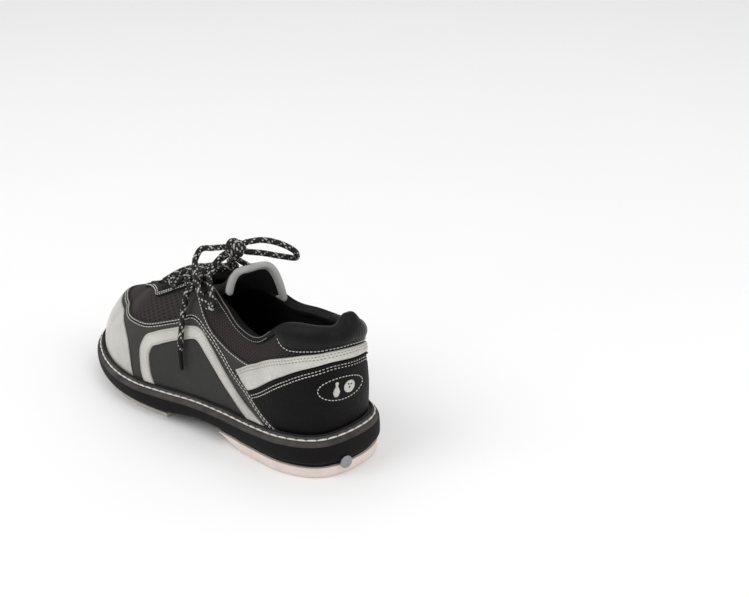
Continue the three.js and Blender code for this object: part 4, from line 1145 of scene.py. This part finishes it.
beading("piping_counter", stripe_foot, -1.5, 1.5, 0.75, TRIM)
# The grey top-line piping is partly real piping and partly a painted highlight along the medial collar's
# padding.
for side, word in SIDES:
    crest = [(u if side > 0 else RING - u, 1.006) for u in (2.5, 3.1, 4, 5, 5.8, 6.4)]
    beading(f"piping_topline_highlight_{word}", crest, 0, 1.45, 0.42, PIPING_HIGHLIGHT)

# ---------------------------------------------------------------- the tongue
TONGUE_X = [62, 40, 20, 4, -9, -20, -31, -42]
TONGUE_Z = [73.5, 81.6, 88, 93.6, 101, 110, 119, 125]
TONGUE_ARCH = 1.35
TONGUE_Y = -1.5
TONGUE_LENGTH = 110  # roughly, to turn t and s into millimetres
TONGUE_HALF = 18
TONGUE_MIDDLE = 3.1  # how deep the middle of its thickness lies
THIN = 0.42  # how thin it gets at its bound edge
# Half width, drop and sweep towards the toe of each side, from the toe end to the free end.
LATERAL_SIDE = ([13, 15, 16.5, 16, 13.5, 13.5, 15.5, 17.5], [3.4, 4.6, 6.5, 8, 10, 15, 24, 32],
                [0, 0, 0, 0, 0, 2, 7, 12])
MEDIAL_SIDE = ([13, 15, 16.5, 16, 13.5, 13.5, 16.5, 21], [3.4, 4.6, 6.5, 8, 10, 16, 31, 47],
               [0, 0, 0, 0, -1, -4, -8, -11])
tongue_line = curve([(x, TONGUE_Y, z) for x, z in zip(TONGUE_X, TONGUE_Z)], 24)
lateral_shape, medial_shape = (curve(list(zip(*side)), 24) for side in (LATERAL_SIDE, MEDIAL_SIDE))
tongue_t = np.linspace(0, 1, len(tongue_line))


def tongue_skin(t, s):
    """The tongue's outer face: t from the toe end (0) to the free end (1), s across (1 lateral)."""
    t, s = np.broadcast_arrays(np.asarray(t, float), np.asarray(s, float))
    line, lateral, medial = (
        sample(t, tongue_t, table) for table in (tongue_line, lateral_shape, medial_shape))
    half, drop, sweep = np.moveaxis(np.where((s > 0)[..., None], lateral, medial), -1, 0)
    angle = TONGUE_ARCH * np.abs(s)
    square = np.clip((t - 0.72) / 0.2, 0, 1)
    wide = half * np.sign(s) * np.sin(angle) ** (1 - 0.26 * square)
    fall = -drop * (1 - np.cos(angle)) ** (1 + 0.5 * square)
    return line + np.stack([sweep * np.abs(s) ** 1.1, wide, fall], -1)


def tongue(t, s, depth):
    """The same with a depth into the shoe. The layers draw together near the bound edge."""
    t, s, depth = np.broadcast_arrays(*(np.asarray(x, float) for x in (t, s, depth)))
    from_side = (1 - np.abs(s)) * TONGUE_HALF + 60 * np.clip(0.8 - t, 0, None)
    inside = inset(np.minimum((1 - t) * TONGUE_LENGTH, from_side), 12)
    full = THIN + (1 - THIN) * inside * inside * (3 - 2 * inside)
    depth = TONGUE_MIDDLE + (depth - TONGUE_MIDDLE) * full
    forward = tongue_skin(np.maximum(t - 0.01, 0), s) - tongue_skin(np.minimum(t + 0.01, 1), s)
    across = tongue_skin(t, s + 0.02) - tongue_skin(t, s - 0.02)
    return tongue_skin(t, s) - unit(np.cross(forward, across)) * depth[..., None]


def tongue_piece(name, t_ends, s_end, outer, inner, look, node, slot):
    """One layer of the tongue between two depths, with rounded edges."""
    t = np.linspace(*t_ends, 90)
    s = np.linspace(-s_end, s_end, 46)
    tt, ss = np.meshgrid(t, s, indexing="ij")
    from_end = np.minimum(tt - t[0], t[-1] - tt) * TONGUE_LENGTH
    border = np.minimum(from_end, (s_end - np.abs(ss)) * TONGUE_HALF)
    share = 0.3 + 0.7 * np.sqrt(1 - (1 - inset(border, 1.4)) ** 2)
    middle = (outer + inner) / 2
    points, faces = two_sided(*(tongue(tt, ss, middle + (face - middle) * share) for face in (outer, inner)))
    sheet = np.stack([tt * TONGUE_LENGTH, ss * TONGUE_HALF], -1).reshape(-1, 2)
    return build(name, points, faces, look, [node], slot, cloth=np.tile(sheet, (2, 1)))


tongue_piece("tongue_cover_cloth", (0, 0.97), 0.98, 0.0, 1.0, MESH, "tongue_cover", "mesh")
tongue_foam = tongue_piece("tongue_padding", (0.02, 0.95), 0.9, 1.25, 4.9, FOAM, "tongue_foam", "foam")
tongue_piece("tongue_lining_cloth", (0.01, 0.97), 0.98, 5.1, 6.2, LINING, "tongue_lining", "lining")

# The binding is folded over the free edge: a path round it, and a fold of (inwards, depth) carried along.
w = np.linspace(-1, 1, 150)
reach = np.abs(w)
rim_s = np.sign(w) * np.sin(inset(reach, 0.72) * np.pi / 2)
rim_t = 0.99 - 0.07 * inset(reach - 0.6, 0.4) ** 1.4
FOLD = [(3.9, 1.0), (2.2, 0.7), (0.4, 0.75), (-0.8, 1.6), (-1.2, 3.1), (-0.8, 4.6), (0.4, 5.4), (2.6, 5.6),
        (5.0, 5.4), (4.9, 4.9), (2.6, 5.1), (0.7, 4.7), (0.0, 3.1), (0.7, 1.5), (2.2, 1.2), (3.8, 1.4)]
fold = curve(FOLD + FOLD[:1], 3)[:-1]
rim = tongue(rim_t, rim_s, TONGUE_MIDDLE)
rim_run = unit(np.gradient(rim, axis=0))
rim_lean = unit(tongue(rim_t, rim_s, 2.0) - tongue(rim_t, rim_s, 4.0))
rim_in = unit(np.cross(rim_lean, rim_run))
toward = tongue(rim_t - 0.1, rim_s * 0.6, TONGUE_MIDDLE) - rim
rim_in = np.where((rim_in * toward).sum(-1, keepdims=True) < 0, -rim_in, rim_in)
narrow = np.interp(w, [-1, -0.94, -0.3, 0.3, 0.93, 1], [0.2, 0.5, 0.8, 1.0, 1.2, 0.35])
points = rim[:, None] + rim_in[:, None] * (fold[None, :, :1] * narrow[:, None, None])
points = points + rim_lean[:, None] * (TONGUE_MIDDLE - fold[None, :, 1:])
n, m = points.shape[:2]
end_wall = wall(np.arange(m // 2), np.arange(m - 1, m - 1 - m // 2, -1))
faces = np.concatenate([grid_faces(n, m, around=True), end_wall[:, ::-1], end_wall + (n - 1) * m])
cloth = np.stack([np.repeat(lengths(rim), m), np.tile(lengths(fold), n)], 1)
build("tongue_binding_cloth", points, faces, BINDING, ["tongue_binding"], "binding", cloth=cloth, sharp=70)

# ---------------------------------------------------------------- eyelets
EYELET_RING = np.array([(0.95, 1.2), (0.95, 1.75), (1.3, 2.0), (1.9, 1.85), (2.3, 1.5), (2.3, 1.1)])
EYELET_SIDES = 24
HOLE_V = 0.905
LATERAL_HOLES = (7.5, 7.05, 6.45)
MEDIAL_HOLES = (7.35, 6.75, 6.3)
rims = []
for u in (*LATERAL_HOLES, *(RING - hole for hole in MEDIAL_HOLES)):
    at, out = raised(u, HOLE_V, 0)
    run = unit(skin(u + 0.02, HOLE_V) - at)
    flat = circle(EYELET_SIDES, run, np.cross(out, run))
    rings = at + flat[:, None] * EYELET_RING[None, :, :1] + out * EYELET_RING[None, :, 1:]
    loop = rings.shape[1]
    faces = grid_faces(EYELET_SIDES + 1, loop, around=True) % (EYELET_SIDES * loop)
    rims.append((rings.reshape(-1, 3), faces))
build("eyelet_rims", *merged(rims), BLACK_THREAD, slot="grain", sharp=60)

# ---------------------------------------------------------------- the sole
HEEL_LIFT, BALL_LIFT, TOE_SPRING = 11, 6.2, 8
RIM = 8.8  # how far the midsole stands out of the feather line


def underside(x):
    t = np.clip((x + 25) / 45, 0, 1)
    lift = HEEL_LIFT + (BALL_LIFT - HEEL_LIFT) * 0.5 * (1 - np.cos(np.pi * t))
    return lift + TOE_SPRING * np.clip((x - 55) / 89, 0, None) ** 2


ring_u = np.arange(440) / 440 * RING


def ring(out, height):
    """A ring round the sole. height takes the x and the feather line's z of each point."""
    p = foot(ring_u) + outward(ring_u) * out
    feather = p[:, 2].copy()
    p[:, 2] = height(p[:, 0], feather)
    return p


def rungs(n):
    i = np.arange(n // 2)
    return np.stack([i, i + 1, n - i - 1, (n - i) % n], 1)


def ring_stack(name, levels, look, replaces, slot, split=None):
    """A solid from rings, from the bottom up, closed with a ladder at both ends.

    With split, the levels from that one on have the second look.
    """
    rings = np.array([ring(out, height) for out, height in levels])
    n, m = rings.shape[:2]
    ladder = rungs(m)
    faces = np.concatenate([grid_faces(n, m, around=True), ladder[:, ::-1], ladder + (n - 1) * m])
    kinds = None
    if split is not None:
        kinds = np.repeat((np.arange(n - 1) >= split).astype(int), m)
        kinds = np.concatenate([kinds, np.zeros(m // 2, int), np.ones(m // 2, int)])
    around = lengths(np.vstack([rings[0], rings[0, :1]]))[:-1]
    cloth = np.stack([np.tile(around, n), np.repeat(np.arange(n), m) * 2.0], 1)
    return build(name, rings, faces, look, replaces, slot, cloth=cloth, sharp=55, face_look=kinds)


def below(drop):
    return lambda x, feather: feather - drop


def above_under(rise):
    return lambda x, feather: underside(x) + rise


def part_way(share):
    return lambda x, feather: (underside(x) + 2.8) * (1 - share) + (feather - 5.2) * share


# The upper levels of the midsole and the whole welt strip take the lighter grey rubber: a painted highlight
# on the rim's top.
ring_stack("midsole_rubber", [
    (RIM - 3.2, above_under(0)), (RIM - 2.2, above_under(0.25)), (RIM - 1.2, above_under(0.9)),
    (RIM - 0.4, above_under(1.9)), (RIM, part_way(0)), (RIM + 0.15, part_way(0.3)),
    (RIM + 0.15, part_way(0.65)), (RIM, below(5.2)), (RIM - 0.35, below(5.05)), (RIM - 0.3, below(4.7)),
    (RIM - 0.3, below(4.2)), (RIM - 0.7, below(3.3)), (RIM - 1.5, below(2.5)), (RIM - 2.6, below(2.0)),
    (RIM - 4.0, below(1.6)), (0, below(1.4)),
], [RUBBER, LIT_RIM_RUBBER], ["midsole"], "rubber", split=8)
ring_stack("welt_strip", [
    (3.3, below(1.2)), (5.2, below(1.25)), (5.55, below(0.7)), (5.4, below(0.0)), (4.9, below(-0.5)),
    (3.6, below(-0.9)), (1.4, below(-0.9)), (1.2, below(1.0)),
], LIT_RIM_RUBBER, ["welt"], "rubber")


def around_sole(out, drop, tilt):
    """A path round the sole beside the upper and the way its stitches face."""
    u = np.linspace(0, RING, 800)
    level = outward(u)
    return foot(u) + level * out - UP * drop, unit(level * tilt + UP)


stitches("stitch_welt", [around_sole(5.6, 1.0, 0.8)], pitch=7.2, share=0.92, thick=1.35, lift=0.55)
stitches("stitch_welt_cord", [around_sole(3.4, -1.3, 1.2)], BLACK_THREAD, pitch=1.9, share=0.94,
         thick=1.3, lift=0.5)

ARC_POINTS = 170


def arc_ring(out, limit, heel):
    """The part of a ring behind the limit in x (the heel), or ahead of it."""
    u = np.linspace(-11, 11, 4000) if heel else np.linspace(0, 22, 4000)
    p = foot(u) + outward(u) * out
    kept = p[(p[:, 0] < limit) if heel else (p[:, 0] > limit)]
    kept[0, 0] = kept[-1, 0] = limit
    return spread(kept, lengths(kept)[-1] / (ARC_POINTS - 1))[:ARC_POINTS]


def sole_piece(name, layers, limit, heel, look, replaces, slot, body="shoe", grooves=None):
    """A layer under the heel or the ball. layers are (out, height(x)) from the bottom up."""
    rings = np.array([arc_ring(out, limit, heel) for out, _ in layers])
    for level, (_, height) in zip(rings, layers):
        level[:, 2] = height(level[:, 0])
    n, m = rings.shape[:2]
    half = m // 2
    share = np.linspace(0, 1, 15)
    points = [rings.reshape(-1, 3)]
    faces = [grid_faces(n, m, around=True)]
    for level in (0, n - 1):
        left, right = rings[level, :half], rings[level, ::-1][:half]
        grid = left[:, None] + (right - left)[:, None] * share[None, :, None]
        if level == 0:
            grid[..., 2] = layers[0][1](grid[..., 0])
            if grooves:
                fade = np.clip(np.minimum(share, 1 - share) * 14 - 0.9, 0, 1)
                grid[..., 2] += grooves(grid[..., 0]) * fade[None, :]
        index = np.arange(grid[..., 0].size).reshape(grid.shape[:2]) + sum(len(p) for p in points)
        index[:, 0] = level * m + np.arange(half)
        index[:, -1] = level * m + m - 1 - np.arange(half)
        quads = np.stack([index[:-1, :-1], index[1:, :-1], index[1:, 1:], index[:-1, 1:]], -1).reshape(-1, 4)
        faces.append(quads if level else quads[:, ::-1])
        points.append(grid.reshape(-1, 3))
    points = np.vstack(points)
    return build(name, points, np.concatenate(faces), look, replaces, slot, body=body, cloth=points[:, :2],
                 sharp=35)


HEEL_FRONT = -40
BEVEL = 24
BALL_BACK = 2


def under(drop):
    return lambda x: underside(x) - drop


def bevel(x):
    return 6.5 * np.clip((x - HEEL_FRONT) / BEVEL + 1, 0, None) ** 1.4


def pad_level(rise, drop):
    return lambda x: np.minimum(bevel(x) + rise, underside(x) - 2.7 - drop)


def ridges(x):
    """Shallow cross grooves, one every 7 mm, on the flat part of the heel."""
    flat = np.clip((-68 - x) / 4, 0, 1)
    return 0.9 * np.clip(np.sin(2 * np.pi * x / 7) * 2 - 0.9, 0, 1) * flat


sole_piece("heel_pad_rubber", [
    (4.7, pad_level(0, 0.8)), (5.4, pad_level(0.4, 0.65)), (6.0, pad_level(1.4, 0.5)),
    (6.5, pad_level(2.4, 0.4)), (6.9, under(3.1)), (6.6, under(2.75)),
], HEEL_FRONT - 0.8, True, PAD, ["heel_pad"], "pad", "heel_pad_body", ridges)
sole_piece("heel_hook_sheet", [(5.1, under(2.45)), (5.3, under(2.0)), (5.1, under(1.55))],
           HEEL_FRONT - 0.4, True, HOOK, ["heel_hook_backing"], "loop", "heel_pad_body")
sole_piece("heel_loop_pile", [(5.1, under(1.25)), (5.3, under(0.8)), (5.1, under(0.3))],
           HEEL_FRONT, True, LOOP, ["heel_loop_sheet"], "loop")
sole_piece("ball_loop_pile", [(2.6, under(1.3)), (2.7, under(0.8)), (2.6, under(0.3))],
           BALL_BACK, False, LOOP, ["forefoot_loop_sheet"], "loop")
sole_piece("slide_hook_sheet", [(1.6, under(2.5)), (1.7, under(2.0)), (1.6, under(1.6))],
           BALL_BACK + 1, False, HOOK, ["slide_hook_backing"], "loop", "slide_sole_body")
sole_piece("slide_microfibre", [
    (2.9, under(6.2)), (3.5, under(5.9)), (3.8, under(5.2)), (3.8, under(3.4)), (3.6, under(2.9)),
], BALL_BACK + 14, False, MICROFIBRE, ["slide_sole"], "microfibre", "slide_sole_body")

# ---------------------------------------------------------------- inside
ring_stack("sock_liner_cloth", [
    (-6.8, below(-2.5)), (-6.5, below(-3.6)), (-6.6, below(-5.4)), (-7.4, below(-6.3)), (-9.5, below(-6.5)),
    (-14, below(-6.0)), (-19, below(-5.6)),
], SOCK, ["sock_liner"], "foam")
for node, look in (("lasting_board", BOARD), ("bottom_filler", CORK), ("shank", STEEL)):
    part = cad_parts[node]
    part.data.materials.clear()
    part.data.materials.append(look)

# ---------------------------------------------------------------- the label, left blank
LABEL_U = 0.42
LABEL_Z = 10.5
# Radius and distance out of its face, from the middle of the front round its rim to the back.
LABEL_PROFILE = np.array([
    (0.01, 0.6), (1.5, 0.59), (2.9, 0.55), (3.3, 0.62), (3.6, 0.55), (4.2, 0.42), (4.5, 0.25), (4.6, 0),
    (4.4, -0.2), (0.01, -0.2),
])
label_out = outward(LABEL_U)
label_at = foot(LABEL_U) + label_out * (RIM + 0.8)
label_at[2] = LABEL_Z
flat = circle(40, np.cross(UP, label_out), UP)
rings = label_at + flat[None] * LABEL_PROFILE[:, :1, None] + label_out * LABEL_PROFILE[:, 1:, None]
build("size_label_film", rings, grid_faces(*rings.shape[:2], around=True), FILM, ["size_label"], "sticker",
      sharp=60)

# ---------------------------------------------------------------- stage and light
floor_mesh = bpy.data.meshes.new("floor")
floor_mesh.from_pydata([(-6, -6, 0), (6, -6, 0), (6, 6, 0), (-6, 6, 0)], [], [(0, 1, 2, 3)])
floor = bpy.data.objects.new("floor", floor_mesh)
bpy.context.scene.collection.objects.link(floor)
paper = Shader("floor_paper")
floor_mesh.materials.append(paper.finish(
    paper.mix(paper.noise(3, 2), (0.93, 0.93, 0.93, 1), (0.96, 0.96, 0.96, 1)),
    paper.span(paper.noise(5, 2), 0.85, 0.95)))


def area_light(name, place, size, power, target=(0, 0, 0.05)):
    lamp = bpy.data.objects.new(name, bpy.data.lights.new(name, "AREA"))
    lamp.data.size = size
    lamp.data.energy = power
    lamp.location = place
    aim = np.array(target) - np.array(place)
    lamp.rotation_euler = Matrix(frame_towards(aim)).to_euler()
    bpy.context.scene.collection.objects.link(lamp)


def frame_towards(aim):
    back = -aim / np.linalg.norm(aim)
    right = np.cross(UP if abs(back[2]) < 0.99 else [0, 1, 0], back)
    right = right / np.linalg.norm(right)
    return np.stack([right, np.cross(back, right), back], 1).tolist()


area_light("key", (0.5, 1.5, 1.7), 1.3, 13)
area_light("side", (-1.7, -0.3, 1.3), 1.3, 9)
area_light("overhead", (0.1, 0, 2.0), 2.2, 11)
bpy.context.scene.view_settings.view_transform = "Standard"
world = bpy.data.worlds.new("studio")
world.use_nodes = True
world.node_tree.nodes["Background"].inputs["Color"].default_value = (1, 1, 1, 1)
world.node_tree.nodes["Background"].inputs["Strength"].default_value = 0.62
bpy.context.scene.world = world
